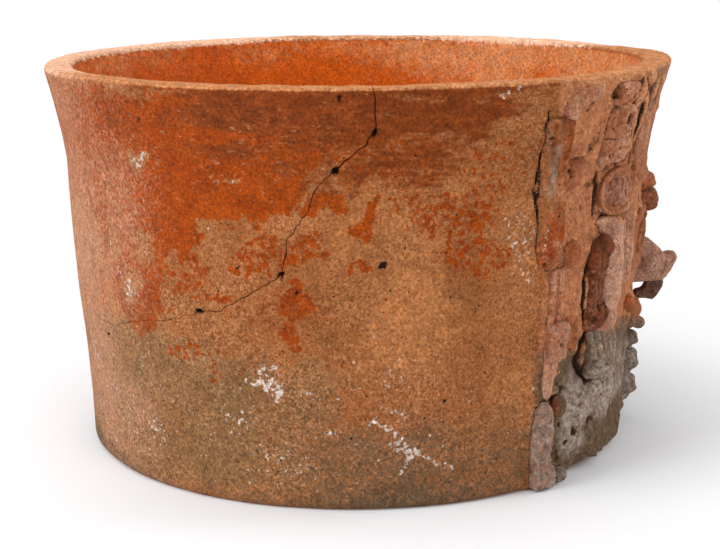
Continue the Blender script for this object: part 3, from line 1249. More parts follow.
@dataclass
class Clay:
    """Lumps and rolls of clay, modelled flat round a place, that become one applied piece.

    Every place that its methods take is an arc distance, a height and, where it has a third
    number, a distance out, all counted from the place where the piece sits.
    """

    form: DrumForm
    arc: float = 0.0
    z: float = 0.0
    lumpy: float = 0.55
    rough: float = 0.26
    voxel: float = 0.75
    cuts: list[tuple[Path, float, float]] = field(default_factory=list)
    pits: list[tuple[float, float, float, float]] = field(default_factory=list)
    laid: list[Mesh] = field(default_factory=list)

    def __post_init__(self) -> None:
        """Start with no clay."""
        self.shape = bmesh.new()

    def set_aside(self, most: int = 0) -> None:
        """Put clay by once there are more vertices than stated, because bmesh slows down as it grows."""
        if len(self.shape.verts) > most:
            self.laid.append(mesh_from(self.shape, "laid_clay"))
            self.shape = bmesh.new()

    def lump(self, at: Sequence[float], half: Sequence[float]) -> Clay:
        """Press on a round lump, with its middle and its half sizes."""
        self.set_aside(1500)
        place = Matrix.Translation((self.arc + at[0], self.z + at[1], at[2])) @ Matrix.Diagonal((*half, 1.0))
        fine = 3 if max(half) > 4.5 else 2
        bmesh.ops.create_icosphere(self.shape, subdivisions=fine, radius=1.0, matrix=place)
        return self

    def slab(self, at: Sequence[float], half: Sequence[float], corner: float, taper: float = 1.0) -> Clay:
        """Press on a slab with soft corners.

        Args:
            at: Its middle.
            half: Its half sizes.
            corner: Radius of its edges.
            taper: Width of its lower end as a share of its upper end.

        Returns:
            The clay itself.
        """
        self.set_aside()
        made = bmesh.ops.create_cube(self.shape, size=2.0)["verts"]
        for vert in made:
            vert.co = Vector(vert.co[i] * half[i] for i in range(3))
            if vert.co.y < 0:
                vert.co.x *= taper
        self.soften(3, corner)
        place = Matrix.Translation((self.arc + at[0], self.z + at[1], at[2]))
        bmesh.ops.transform(self.shape, matrix=place, verts=self.shape.verts)
        return self

    def blade(self, section: Path, half: float, corner: float, taper: float = 0.0) -> Clay:
        """Press on a piece cut out as seen from the side of the mask.

        Args:
            section: Its outline as distance out and height.
            half: Half its width across the mask.
            corner: Radius of its edges.
            taper: Share of the width that it has lost where it stands out furthest.

        Returns:
            The clay itself.
        """
        self.set_aside()
        row = [self.shape.verts.new((-half, z, out)) for out, z in section]
        side = self.shape.faces.new(row)
        grown = bmesh.ops.extrude_face_region(self.shape, geom=[side], use_keep_orig=True)["geom"]
        for vert in (g for g in grown if isinstance(g, bmesh.types.BMVert)):
            vert.co.x = half
        bmesh.ops.recalc_face_normals(self.shape, faces=self.shape.faces)
        self.soften(2, corner)
        reach = max(out for out, _ in section)
        for vert in self.shape.verts:
            vert.co.x *= 1 - taper * max(0.0, vert.co.z / reach)
        return self

    def soften(self, segments: int, corner: float) -> None:
        """Round every edge of the clay at hand."""
        bmesh.ops.bevel(
            self.shape, geom=self.shape.edges[:], offset=corner, segments=segments, profile=0.5,
            affect="EDGES", material=-1,
        )

    def coil(self, path: Sequence[Sequence[float]], step: float = 0.9) -> Clay:
        """Press on a roll of clay, whose path has a radius after each place."""
        for a, b in itertools.pairwise(np.array(path, dtype=float)):
            count = max(1, math.ceil(np.linalg.norm(b[:3] - a[:3]) / step))
            for share in np.linspace(0, 1, count + 1):
                *place, radius = a + (b - a) * share
                self.lump(place, (radius,) * 3)
        return self

    def ring(
        self, half: tuple[float, float], out: float, radius: float, power: float = 0.85, count: int = 28
    ) -> Clay:
        """Press on a roll laid in an oval.

        Args:
            half: Half sizes of the oval.
            out: Distance out of the roll's middle.
            radius: Its radius.
            power: How square the oval is; 1 is an ellipse.
            count: Number of its corners.

        Returns:
            The clay itself.
        """
        path = []
        for i in range(count + 1):
            x, y = math.cos(math.tau * i / count), math.sin(math.tau * i / count)
            x, y = (half[k] * math.copysign(abs(v) ** power, v) for k, v in enumerate((x, y)))
            path.append((x, y, out, radius))
        return self.coil(path)

    def cut(self, path: Path, half: float, deep: float) -> Clay:
        """Press a groove into the front."""
        self.cuts.append(([(self.arc + x, self.z + y) for x, y in path], half, deep))
        return self

    def pit(self, x: float, y: float, half: float, deep: float) -> Clay:
        """Press a round pit into the front."""
        self.pits.append((self.arc + x, self.z + y, half, deep))
        return self

    def fired(self, seed: int) -> tuple[Mesh, Points]:
        """Merge the clay into one skin, cut it and weather it.

        Args:
            seed: Number that picks the weathering.

        Returns:
            The mesh, still flat, and its vertices in millimetres.
        """
        self.set_aside()
        for part in self.laid:
            self.shape.from_mesh(part)
        rough = mesh_from(self.shape, "clay")
        rough.transform(Matrix.Scale(MM, 4))
        thing = new_object("clay", rough)
        merged = thing.modifiers.new("merge", "REMESH")
        merged.mode = "VOXEL"
        merged.voxel_size = self.voxel * MM
        mesh = applied(thing, "clay")
        shape = bmesh.new()
        shape.from_mesh(mesh)
        axes = dict.fromkeys(("use_axis_x", "use_axis_y", "use_axis_z"), True)
        for _ in range(2):
            bmesh.ops.smooth_vert(shape, verts=shape.verts, factor=0.5, **axes)
        bmesh.ops.recalc_face_normals(shape, faces=shape.faces)
        shape.to_mesh(mesh)
        shape.free()
        flat, normals = read_points(mesh) / MM, read_normals(mesh)
        front = ramp(normals[:, 2], -0.2, 0.4)
        sunk = np.zeros(len(flat))
        x, y = (flat[:, i] + lattice(flat, 5, seed + 3 + i) * 0.5 for i in range(2))
        faint = 0.55 + 0.6 * noise(flat, 6, seed + 9)
        for path, half, deep in self.cuts:
            sunk = np.maximum(sunk, ramp(path_distance(x, y, path), half, 0.0) * deep * faint)
        for arc, z, half, deep in self.pits:
            sunk = np.maximum(sunk, ramp(np.hypot(x - arc, y - z), half, half * 0.25) * deep)
        flat[:, 2] -= sunk * front
        above = ramp(flat[:, 2], -0.5, 1.0)
        world = self.form.drape(flat)
        bump = self.lumpy * noise(world, 5.5, seed) + self.rough * noise(world, 1.8, seed + 7)
        flat += normals * (bump * above)[:, None]
        return mesh, flat


@dataclass(frozen=True)
class Weather:
    """How one applied piece was rubbed, soiled, reddened and limed, as shares of its surface."""

    rubbed: float = 0.1
    hollow: float = 0.06
    red: float = 0.2
    lime: float = 0.16
    ash: float = 0.0


@dataclass
class Relief:
    """Lays the applied pieces on the drum and remembers where they meet the wall."""

    form: DrumForm
    wardrobe: Wardrobe
    meets: list[Points] = field(default_factory=list)
    slab_streak: float = 136.2
    strip_from: float = 121.0
    first_seed: int = 113
    seed_step: int = 13

    def weathered(
        self, worn: Weather, slot: Slot, points: Points, flat: Points, hollow: Points
    ) -> dict[str, Points]:
        """Work out what wear and burial left on each place of a piece.

        Args:
            worn: What happened to the piece.
            slot: Its material slot.
            points: Its vertices on the drum, in millimetres.
            flat: The same vertices before they were draped.
            hollow: How far each lies below the smoothed surface, in millimetres.

        Returns:
            The amounts that its material reads, by name.
        """
        arc, z = np.abs(flat[:, 0]), points[:, 2]
        warp = noise(points, 12, 5) * 8
        low = ramp(z + warp * 0.5, 66, 46) * (1 - ramp(arc, self.strip_from, self.strip_from + 6))
        patchy = (0.6 + 0.5 * noise(points, 8, 27)) * (1 - 0.7 * low)
        grey = (0.75 if slot is not Slot.SOOT else 0.4) + 0.5 * noise(points, 11, 49)
        foot = 0.5 * ramp(np.clip(flat[:, 2], 0, 30), 1.3, 0.0)
        kept = {
            "hollow": worn.hollow + hollow * 1.7 * patchy + foot,
            "rubbed": worn.rubbed - hollow * 0.8 * patchy + 0.2 * lattice(points, 14, 8),
            "ash": worn.ash + grey * low,
            "brown": 0.8 * low,
            "lime": worn.lime + 0.18 * noise(points, 16, 6),
            "red": worn.red + 0.3 * noise(points, 18, 4) - 0.4 * low,
        }
        if slot is Slot.WORN_SLIP:
            drawn, brushed = points * (1, 1, 0.2), points * (1, 1, 0.25)
            middle = ramp(np.abs(arc - self.slab_streak + warp * 0.3), 5.6, 0.6)
            along = ramp(z, 165, 154) * (0.25 + 0.75 * ramp(z, 112, 128))
            kept["gravel"] = 0.26 + 0.5 * noise(drawn, 4, 15) + 0.15 * ramp(z, 120, 150)
            kept["bare"] = 0.45 + 0.4 * noise(drawn, 4, 35)
            kept["slip"] = 0.14 - 0.4 * noise(brushed, 6, 9) + 0.4 * ramp(z, 136, 116)
            kept["smoked"] = 0.3 + 0.2 * ramp(z, 128, 150) + 0.5 * noise(drawn, 5, 45)
            kept["ash"] += 0.8 * middle * (0.45 + 0.6 * noise(drawn, 7, 65)) * along
            kept["lime"] += 0.12 * middle * ramp(z, 146, 120) - 0.16
        return kept

    def lay(self, name: str, side: Side, clay: Clay, slot: Slot, *weather: float, **more: float) -> None:
        """Finish one piece and put it in place.

        Args:
            name: The node it takes the place of, without its side.
            side: Its side of the mask.
            clay: The modelled clay, drawn on the side of positive arc distances.
            slot: Its material slot.
            *weather: What wear and burial did to it, as in Weather.
            **more: The rest of it, by name.
        """
        mesh, flat = clay.fired(self.first_seed + self.seed_step * len(self.meets))
        if side is Side.LEFT:
            flat[:, 0] *= -1
            mesh.flip_normals()
        points = self.form.drape(flat)
        write_points(mesh, points * MM)
        worn = self.weathered(Weather(*weather, **more), slot, points, flat, hollowness(mesh, points))
        for attribute, values in worn.items():
            store(mesh, attribute, values)
        self.meets.append(points[(flat[:, 2] < 1.2) & (flat[:, 2] > -0.6)][::2])
        node = f"{side.value}{name}"
        self.wardrobe.dress(f"{node}_clay", mesh, slot, [node])

    def footprint(self) -> Points:
        """Every place where a piece meets the wall, in millimetres."""
        return np.vstack(self.meets)


@dataclass
class SideStrip:
    """Strip that frames the mask on one side, from the rim to the ground."""

    form: DrumForm
    slab_from: float = 133.8
    slab_half: float = 7.0
    slab_bottom: float = 103.0
    slab_top: float = 168.5
    slab_thick: float = 4.0
    band_from: float = 128.0
    band_half: float = 4.3
    band_bottom: float = 43.5
    band_thick: float = 2.8
    block_middle: float = 69.0
    foot_from: float = 131.3
    knob: tuple[float, float] = (125.6, 143.0)
    end_knob: tuple[float, float] = (120.6, 107.5)
    disc: tuple[float, float] = (121.0, 36.5)
    nub: tuple[float, float] = (118.2, 4.0)
    arch: tuple[float, float] = (117.0, 71.0)

    def slab(self, side: Side) -> Clay:
        """Long slab, ridged by the fingers that pressed it on, whose lower end broke off ragged."""
        half = (self.slab_top - self.slab_bottom) / 2
        clay = Clay(self.form, self.slab_from, self.slab_bottom + half, 0.75, 0.34)
        clay.slab((0.4, 0, 1.0), (self.slab_half, half, self.slab_thick - 0.6), 2.6, 0.96)
        clay.lump((-0.6, 5 - half, 1.4), (7.0, 5.8, 3.6)).lump((2.4, 18, 1.6), (4.6, 15, 3.4))
        clay.lump((2.8, -12, 1.6), (4.4, 16, 3.6)).lump((-3.4, 4, 1.4), (3.6, 18, 3.2))
        clay.cut([(0.2, 10), (-0.6, -10)], 1.6, 0.8).cut([(-5.2, 14), (-4.8, -4)], 1.2, 0.8)
        if side is Side.LEFT:
            clay.pit(4.5, 2.5 - half, 2.4, 1.8).pit(-4.2, 1.0 - half, 1.8, 1.6)
            clay.pit(5.8, half - 8, 2.2, 1.4).pit(6.0, 2, 1.8, 1.2)
        return clay

    def band(self) -> Clay:
        """Flat band that runs on below the slab, with lines drawn along it."""
        half = (self.slab_bottom - 0.6 - self.band_bottom) / 2
        clay = Clay(self.form, self.band_from, self.band_bottom + half, 0.8, 0.3)
        clay.slab((0, 4, 0.6), (self.band_half - 0.4, half - 4, self.band_thick - 0.8), 2.0)
        clay.lump((0.6, 6 - half, 0.5), (3.6, 8.0, 1.9))
        clay.coil([(3.4, 5 - half, 1.6, 1.9), (3.2, half - 4, 1.6, 1.9)], 1.6)
        for inward, deep in ((-1.9, 1.1), (0.6, 1.2), (2.4, 0.6)):
            clay.cut([(inward, half), (inward + 0.5, 0), (inward, -half)], 0.9, deep)
        return clay

    def block(self) -> Clay:
        """Lump pressed over the band, with a ragged face."""
        clay = Clay(self.form, self.band_from, self.block_middle, 0.9, 0.4)
        clay.slab((0, 0, 3.4), (5.4, 8.6, 3.0), 1.8).lump((1.5, 3.5, 4.6), (2.8, 4.0, 2.0))
        return clay.pit(-1.5, -1, 2.2, 1.6).cut([(-3, -8), (1, 8)], 1.0, 0.9)

    def foot(self) -> Clay:
        """Finger of clay that stands on the ground."""
        clay = Clay(self.form, self.foot_from, lumpy=0.7)
        clay.coil([(0, 6.6, 0.8, 5.8), (0.5, 22.0, 0.8, 6.0), (-0.5, 35.8, 0.6, 5.4)])
        clay.slab((-1, 5.6, 1.4), (6.8, 4.8, 4.2), 2.0)
        return clay.cut([(-2, 33), (-2.4, 12)], 1.3, 1.3).cut([(2, 24), (2.4, 12)], 0.9, 0.7)

    def small_knob(self, at: tuple[float, float], half: Sequence[float], pitted: bool = False) -> Clay:
        """Pinched knob, made of two or three lumps of shares of its half sizes."""
        size = np.array(half)
        wide, high, thick = half
        clay = Clay(self.form, *at, 0.7, 0.32, 0.6)
        clay.lump((0, 0, 0.7), (wide * 1.08, high * 1.08, thick - 0.6))
        clay.lump(size * (-0.35, 0.3, 0.35), size * 0.55).lump(size * (0.4, -0.35, 0.3), size * 0.5)
        if pitted:
            clay.lump((-wide, high * 0.55, 0.4), size * (0.8, 0.5, 0.6))
            clay.pit(wide * 0.45, high * 0.35, 1.7, 3.0).pit(wide * 0.35, high * 0.02, 1.0, 1.6)
        return clay

    def arch_rim(self) -> Clay:
        """Low arched lobe beside the block."""
        path = [(-3.6, -7.6), (-3.9, 2), (-2, 6.6), (2, 6.6), (3.9, 2), (3.6, -7.6)]
        clay = Clay(self.form, *self.arch, 0.25).coil([(x, y, 0.8, 1.7) for x, y in path])
        return clay.lump((0, -1, 0.0), (3.8, 7.4, 1.8))

    def build(self, relief: Relief) -> None:
        """Build both strips."""
        for side in (Side.LEFT, Side.RIGHT):
            knob = self.small_knob(self.knob, (6.2, 6.6, 6.2), True)
            end_knob = self.small_knob(self.end_knob, (5.4, 5.4, 4.8))
            disc = self.small_knob(self.disc, (4.4, 5.8, 4.6))
            relief.lay("strip_slab", side, self.slab(side), Slot.WORN_SLIP, 0.12, 0.1, lime=0.3)
            relief.lay("strip_band", side, self.band(), Slot.PINK, 0.55, 0.0, 0.55, 0.25)
            relief.lay("strip_block", side, self.block(), Slot.DULL, 0.65, 0.0, 0.9, 0.25)
            relief.lay("strip_foot", side, self.foot(), Slot.PALE, 0.0, 0.3, 0.1, 0.0, 0.56)
            relief.lay("strip_knob", side, knob, Slot.PINK, 0.0, 0.28)
            relief.lay("strip_end_knob", side, end_knob, Slot.PINK, 0.1, 0.2, 0.4)
            relief.lay("strip_disc", side, disc, Slot.DULL, 0.2, 0.2, 0.4, ash=-0.5)
            relief.lay("strip_nub", side, self.small_knob(self.nub, (3.6, 3.4, 4.8)), Slot.ASH)
            relief.lay("strip_arch", side, self.arch_rim(), Slot.PINK)


@dataclass
class EarOrnament:
    """Curl under the rim, and the ear ornament that hangs beside the face."""

    form: DrumForm
    curl: Sequence[Sequence[float]] = (
        (128.2, 169.6, 2.0, 3.0), (130.2, 171.6, 2.8, 3.6), (129.0, 174.6, 3.2, 3.8),
        (125.6, 176.8, 3.4, 3.8), (121.0, 177.8, 3.0, 3.7), (116.6, 177.8, 2.2, 3.4),
        (114.2, 176.8, 1.2, 2.8),
    )
    block: tuple[float, float] = (95.2, 176.5)
    shield: tuple[float, float] = (92.6, 163.2)
    pad: tuple[float, float] = (93.4, 150.0)
    ring: tuple[float, float] = (87.4, 131.2)
    ring_half: tuple[float, float] = (17.0, 11.0)
    pendant: tuple[float, float] = (98.4, 91.3)
    pendant_half: float = 22.2
    rib: tuple[float, float] = (90.4, 92.0)
    rib_half: float = 25.0
    tassel: tuple[float, float] = (92.6, 56.3)
    tassel_half: tuple[float, float] = (16.0, 12.2)

    def rim_curl(self) -> Clay:
        """Sausage of clay curled over under the rim."""
        return Clay(self.form, lumpy=0.6).coil(self.curl).cut([(131.0, 176.6), (127.6, 173.4)], 0.9, 0.7)

    def lug(self) -> Clay:
        """Block at the top, with a ledge below it."""
        clay = Clay(self.form, *self.block, 0.7, 0.3).slab((-1, 0, 1.6), (6.0, 4.2, 3.8), 1.3)
        clay.lump((0, 1.6, 4.2), (4.0, 2.4, 1.8)).pit(-3, -2, 1.8, 1.8)
        return clay.slab((1, -4.4, 1.2), (7.0, 1.6, 2.2), 0.9)

    def shield_plate(self) -> Clay:
        """Oval shield with a raised rim, a ridge across it and a hollow at its inner side."""
        clay = Clay(self.form, *self.shield, 0.7, 0.3)
        clay.slab((0, 0, 0.6), (11.2, 7.0, 2.0), 2.4).ring((10.8, 6.8), 1.7, 1.5)
        clay.coil([(5, -3.2, 2.2, 1.7), (1.5, 0.6, 3.0, 1.9), (-2, 3.4, 2.4, 1.6)])
        clay.pit(-7.5, 0, 4.4, 2.4).pit(-4, -2.4, 2.6, 1.2)
        clay.cut([(8.4, 3.0), (8.8, -1.4), (6.0, -4.0)], 1.1, 1.4)
        return clay.cut([(11, -5.6), (0, -6.2), (-11, -5.2)], 1.1, 1.0)

    def pad_plate(self) -> Clay:
        """Folded pad between the shield and the ring."""
        clay = Clay(self.form, *self.pad, 0.8, 0.34).slab((-1, 0, 0.6), (12.0, 6.0, 2.0), 2.6)
        clay.coil([(-12, 2.6, 0.8, 2.0), (0, 4.2, 1.8, 1.9), (9, 2.0, 1.2, 1.7)])
        clay.coil([(-11, -2.0, 0.8, 1.8), (-3, -4.2, 1.8, 1.7), (11, -3.0, 1.2, 1.7)])
        clay.lump((3, 0, 1.4), (6.0, 4.0, 2.6)).cut([(-11, 0.2), (0, 0.8), (11, -0.4)], 1.3, 1.2)
        return clay.pit(6, -1.5, 1.8, 1.6).pit(-3, 1.2, 1.6, 1.2)

    def ear_ring(self) -> Clay:
        """Ring rolled twice round the plug."""
        wide, high = self.ring_half
        clay = Clay(self.form, *self.ring, 0.5, 0.26).ring((wide - 2.2, high - 2.2), 0.8, 1.9)
        clay.ring((wide - 1.2, high - 1.2), 2.6, 1.2).ring((wide - 4.0, high - 3.8), 2.0, 0.9)
        return clay.cut([(6, high), (5, high - 4)], 1.0, 1.2).cut([(-11, -high), (-10, 4 - high)], 1.0, 1.2)

    def ear_plug(self) -> Clay:
        """Plug inside the ring, hatched, with a pit towards the face."""
        clay = Clay(self.form, *self.ring, 0.7, 0.34).slab((0.2, 0, 0.8), (14.2, 8.2, 1.3), 2.6)
        clay.lump((5, 1.4, 1.2), (7.0, 4.8, 2.4)).lump((-3, -3.4, 1.0), (7.0, 3.2, 2.0))
        for i in range(6):
            x = 8.6 - 2.6 * i
            clay.cut([(x + 0.8 * (i % 2), 5.4), (x - 1.4, -2.0)], 0.9, 0.9)
        return clay.pit(-8.6, -2.4, 2.2, 3.4)

    def hanging(self) -> Clay:
        """Dark pendant under the ring, rough and split."""
        half = self.pendant_half
        clay = Clay(self.form, *self.pendant, 1.0, 0.42).slab((0, -1, 1.2), (8.4, half - 1.2, 3.4), 3.2)
        clay.lump((-2, half - 6, 2.2), (7.4, 5.6, 3.8)).lump((-1, 8 - half, 2.2), (7.8, 7.4, 4.2))
        clay.coil([(-5.6, half - 8, 2.4, 3.0), (-5.8, 0, 2.8, 3.2), (-5.2, 6 - half, 2.4, 3.0)], 2.0)
        clay.cut([(7.4, half - 7), (2.4, half - 6), (-0.6, half - 9), (-1.4, 5)], 1.3, 1.5)
        clay.cut([(-1.4, 6), (-1.8, 5 - half)], 1.4, 2.0)
        clay.cut([(3.4, half - 9), (3.6, 0), (3.2, 10 - half)], 1.2, 1.6)
        clay.cut([(7, 11 - half), (0, 12.4 - half), (-6, 10.6 - half)], 1.1, 1.0)
        return clay.pit(5, 6 - half, 2.6, 1.8).pit(-3, 3 - half, 2.2, 1.4)

    def ridge(self) -> Clay:
        """Smooth upright ridge between the pendant and the cheek."""
        half = self.rib_half
        clay = Clay(self.form, *self.rib, 0.55, 0.16)
        clay.coil([(0.4, 5 - half, 1.2, 6.2), (0.2, 0, 1.8, 6.5), (-0.4, half - 4, 1.0, 6.0)])
        clay.lump((1, half - 1, 0.2), (8.0, 4.4, 2.8)).lump((5, half + 1.6, 0.0), (7.0, 2.4, 2.4))
        clay.lump((-2, half - 7, 0.8), (6.6, 5.0, 3.4)).lump((1, 1 - half, 1.0), (6.2, 6.0, 3.4))
        clay.slab((-9, 5, 0.3), (9.0, 19.0, 1.5), 1.2)
        clay.cut([(-6.4, half - 6), (-5.6, 4), (-5.8, 6 - half)], 1.8, 1.2)
        return clay.cut([(1.8, half - 14), (2.2, 16 - half)], 0.9, 0.6).pit(2, half - 10, 1.6, 1.0)

    def hair_tassel(self) -> Clay:
        """Grey lobe with strands drawn in its top, worn round below."""
        wide, high = self.tassel_half
        clay = Clay(self.form, *self.tassel, 0.8, 0.36)
        clay.slab((-2, -1.2, 1.6), (wide - 3.6, high - 2.4, 4.4), 4.2)
        clay.lump((0.5, -3.4, 3.2), (wide - 5.0, high - 3.6, 5.2)).lump((-9, -0.5, 1.6), (6.0, 9.0, 4.0))
        for i in range(5):
            x = 10.5 - 4.6 * i
            clay.coil([(x, high - 0.6, 2.0, 2.0), (x - 0.6, 6, 3.8, 2.3), (x - 1.0, 1.5, 3.8, 2.0)], 1.4)
            clay.cut([(x - 2.4, high), (x - 3.2, 1.5)], 1.0, 1.8)
        clay.pit(2, -3, 1.8, 1.6).pit(-5, -6, 1.6, 1.4).pit(9, -1, 1.6, 1.4)
        return clay.cut([(13, -8), (5, -11), (-6, -10)], 1.2, 1.2)

    def build(self, relief: Relief) -> None:
        """Build both ornaments."""
        for side in (Side.LEFT, Side.RIGHT):
            relief.lay("rim_curl", side, self.rim_curl(), Slot.PINK, 0.42, 0.0, 0.2, 0.2)
            relief.lay("ear_block", side, self.lug(), Slot.PINK, 0.35, 0.1, 0.5)
            relief.lay("ear_shield", side, self.shield_plate(), Slot.PINK, 0.4, 0.0, 0.2, 0.22)
            relief.lay("ear_pad", side, self.pad_plate(), Slot.PINK, 0.45, 0.0, 0.1, 0.25)
            relief.lay("ear_ring", side, self.ear_ring(), Slot.PINK, 0.25, 0.12, 0.1)
            relief.lay("ear_plug", side, self.ear_plug(), Slot.DULL, 0.5, 0.05, 0.1, 0.2)
            relief.lay("ear_pendant", side, self.hanging(), Slot.DULL, 0.16, 0.4, 0.12, 0.1)
            relief.lay("ear_rib", side, self.ridge(), Slot.PALE, 0.55, 0.0, 0.15, 0.2)
            relief.lay("ear_tassel", side, self.hair_tassel(), Slot.ASH, 0.35, 0.16, 0.5, 0.2)


@dataclass
class Face:
    """Cheeks and ringed eyes."""

    form: DrumForm
    cheek: tuple[float, float] = (70.4, 101.0)
    cheek_half: float = 17.0
    socket: tuple[float, float] = (37.3, 101.0)
    socket_half: tuple[float, float] = (27.1, 15.5)
    eye_half: tuple[float, float] = (13.0, 7.6)
    floor: float = 1.2
    corners: int = 32

    def cheek_roll(self) -> Clay:
        """Upright roll at the side of the face."""
        half = self.cheek_half
        clay = Clay(self.form, *self.cheek, 0.55, 0.2)
        clay.coil([(0, 5 - half, -0.8, 5.0), (0.3, 0, -0.4, 5.3), (0, half - 3, -0.8, 5.0)])
        return clay.cut([(3.0, half - 3), (2.2, 0), (3.2, 6 - half)], 1.2, 1.2)

    def eye_socket(self) -> Clay:
        """Sunken field with a raised border."""
        wide, high = self.socket_half
        clay = Clay(self.form, *self.socket, 0.35)
        clay.slab((0, 0, 0), (wide - 1.5, high - 1.5, self.floor - 0.1), 1.0)
        clay.ring((wide - 2.6, high - 2.6), 0.5, 2.0, 0.75, self.corners)
        return clay.cut([(wide - 3, 6), (wide - 3.4, -6)], 1.2, 0.8)

    def eye_rim(self) -> Clay:
        """Roll laid round the eye."""
        half = (self.eye_half[0] - 1.6, self.eye_half[1] - 1.6)
        clay = Clay(self.form, *self.socket, 0.25, voxel=0.6)
        return clay.ring(half, self.floor + 0.3, 1.5, count=self.corners)

    def eye_ball(self) -> Clay:
        """Lens of clay inside the ring."""
        half = (self.eye_half[0] - 3.4, self.eye_half[1] - 3.4, 1.8)
        clay = Clay(self.form, *self.socket, 0.3, voxel=0.6)
        return clay.lump((0, 0, self.floor), half).pit(0, 0, 1.8, 1.2)

    def build(self, relief: Relief) -> None:
        """Build both sides of the face."""
        for side in (Side.LEFT, Side.RIGHT):
            relief.lay("cheek", side, self.cheek_roll(), Slot.PALE, 0.4, 0.0, 0.1, 0.1)
            relief.lay("eye_socket", side, self.eye_socket(), Slot.PINK)
            relief.lay("eye_rim", side, self.eye_rim(), Slot.PINK)
            relief.lay("eye_ball", side, self.eye_ball(), Slot.DULL)


@dataclass
class MaskMiddle:
    """Middle line of the mask: beard, lips, hooked snout, brow and headdress."""

    form: DrumForm
    lip_z: float = 60.0
    lip_end: float = 56.5
    lip_rise: float = 14.0
    snout_section: Path = (
        (-1, 71.0), (6.2, 71.2), (16.6, 71.4), (19.0, 74.4), (21.2, 78.7), (23.2, 82.6), (22.6, 85.2),
        (20.4, 86.0), (18.0, 85.0), (16.8, 84.0), (14.2, 87.2), (11.2, 90.0), (8.0, 92.2), (4.6, 93.6),
        (-1, 94.4),
    )
    hook_section: Path = (
        (8.6, 73.5), (16.4, 73.5), (17.6, 70.4), (16.6, 67.0), (15.0, 63.6), (13.0, 61.4), (9.5, 61.8),
        (6.0, 62.0), (4.2, 62.6), (3.4, 64.0), (3.8, 65.6), (5.4, 66.2), (7.2, 66.6), (8.2, 68.4),
    )
    bridge_section: Path = (
        (-1, 93.6), (5.4, 93.8), (5.6, 97), (5.2, 101), (5.6, 106), (4.8, 108.2), (-1, 108.4),
    )
    headdress_z: float = 146.75
    headdress_half: tuple[float, float] = (69.4, 19.25)

    def bead(self, z: float, half: Sequence[float]) -> Clay:
        """Round bead pressed on at a height, made of lumps of shares of its half sizes."""
        size = np.array(half)
        wide, high, reach = half
        clay = Clay(self.form, 0.0, z, 0.5, 0.22, 0.65).lump((0, 0, 0.4), (wide, high * 1.12, reach - 1.0))
        clay.lump((0, high * -0.7, 0.4), size * (0.8, 0.7, 0.62))
        clay.lump(size * (0.25, 0.3, 0.35), size * (0.7, 0.55, 0.6))
        return clay.lump(size * (-0.3, -0.25, 0.4), size * (0.6, 0.5, 0.58))

    def grooved_bead(self, z: float, half: Sequence[float]) -> Clay:
        """Bead with strands drawn down it."""
        clay = self.bead(z, half)
        for share in (-0.55, -0.1, 0.4):
            clay.cut([(share * half[0], half[1]), (share * half[0] * 1.2, -half[1])], 1.0, 1.5)
        return clay

    def tongue(self) -> Clay:
        """Drop-shaped tongue that hangs out over the chin."""
        clay = Clay(self.form, lumpy=0.4, voxel=0.65)
        clay.coil([(0, 53.0, 2.2, 3.4), (0, 50.5, 5.0, 3.6), (0, 48.6, 7.6, 3.4)])
        return clay.lump((2.6, 49.6, 2.6), (3.2, 3.8, 3.6)).lump((-2.6, 49.6, 2.6), (3.2, 3.8, 3.6))

    def lip(self) -> Clay:
        """Upper lip, a roll that rises towards both corners."""
        path = []
        for share in (i / 12 - 1 for i in range(25)):
            end = abs(share)
            path.append((share * self.lip_end, self.lip_rise * end**2.5, 0.9 - 0.6 * end, 4.9 - 1.6 * end**3))
        clay = Clay(self.form, 0.0, self.lip_z, 0.45).coil(path).lump((0, 0, 1.4), (5.6, 5.2, 5.0))
        for arc in (-42, -30, -18, 18, 30, 42):
            clay.cut([(arc, 12), (arc * 0.98, -2)], 0.9, 0.8)
        return clay

    def snout(self) -> Clay:
        """Upturned snout with a blunt horn-like tip."""
        clay = Clay(self.form, lumpy=0.45, voxel=0.65, rough=0.3).blade(self.snout_section, 7.4, 1.5, 0.5)
        clay.lump((-5.4, 80.6, 8.4), (3.4, 4.6, 5.4)).lump((5.4, 80.6, 8.4), (3.4, 4.6, 5.4))
        clay.lump((0, 77.0, 12.0), (5.6, 4.6, 6.0)).lump((0, 86.0, 5.0), (6.6, 5.4, 6.4))
        return clay.pit(-7.4, 80.0, 2.2, 1.6).pit(7.4, 80.0, 2.2, 1.6)

    def hook(self) -> Clay:
        """Lower jaw of the snout, hooked back towards the mouth."""
        clay = Clay(self.form, lumpy=0.35, voxel=0.6, rough=0.3).blade(self.hook_section, 3.8, 1.0)
        return clay.lump((0, 66.8, 12.8), (4.8, 3.6, 3.0)).lump((0, 64.2, 6.4), (3.8, 1.8, 2.8))

    def nose_bridge(self) -> Clay:
        """Narrow strip above the snout, cracked across."""
        clay = Clay(self.form, lumpy=0.4, voxel=0.65).blade(self.bridge_section, 4.6, 0.9)
        return clay.cut([(-4.5, 103.4), (4.5, 102.6)], 1.0, 1.6).cut([(-2, 106), (-1.4, 95)], 0.9, 1.0)

    def brow_knob(self) -> Clay:
        """Two-lobed knob between the brows."""
        clay = Clay(self.form, lumpy=0.45, voxel=0.7)
        clay.lump((0, 113.0, 2.4), (9.0, 6.0, 8.6)).lump((0, 115.8, 4.0), (6.6, 3.6, 6.2))
        clay.lump((3.0, 110.4, 4.4), (4.8, 3.4, 6.0)).lump((-3.0, 110.4, 4.4), (4.8, 3.4, 6.0))
        return clay.cut([(0, 118.5), (0, 108)], 1.3, 1.2)

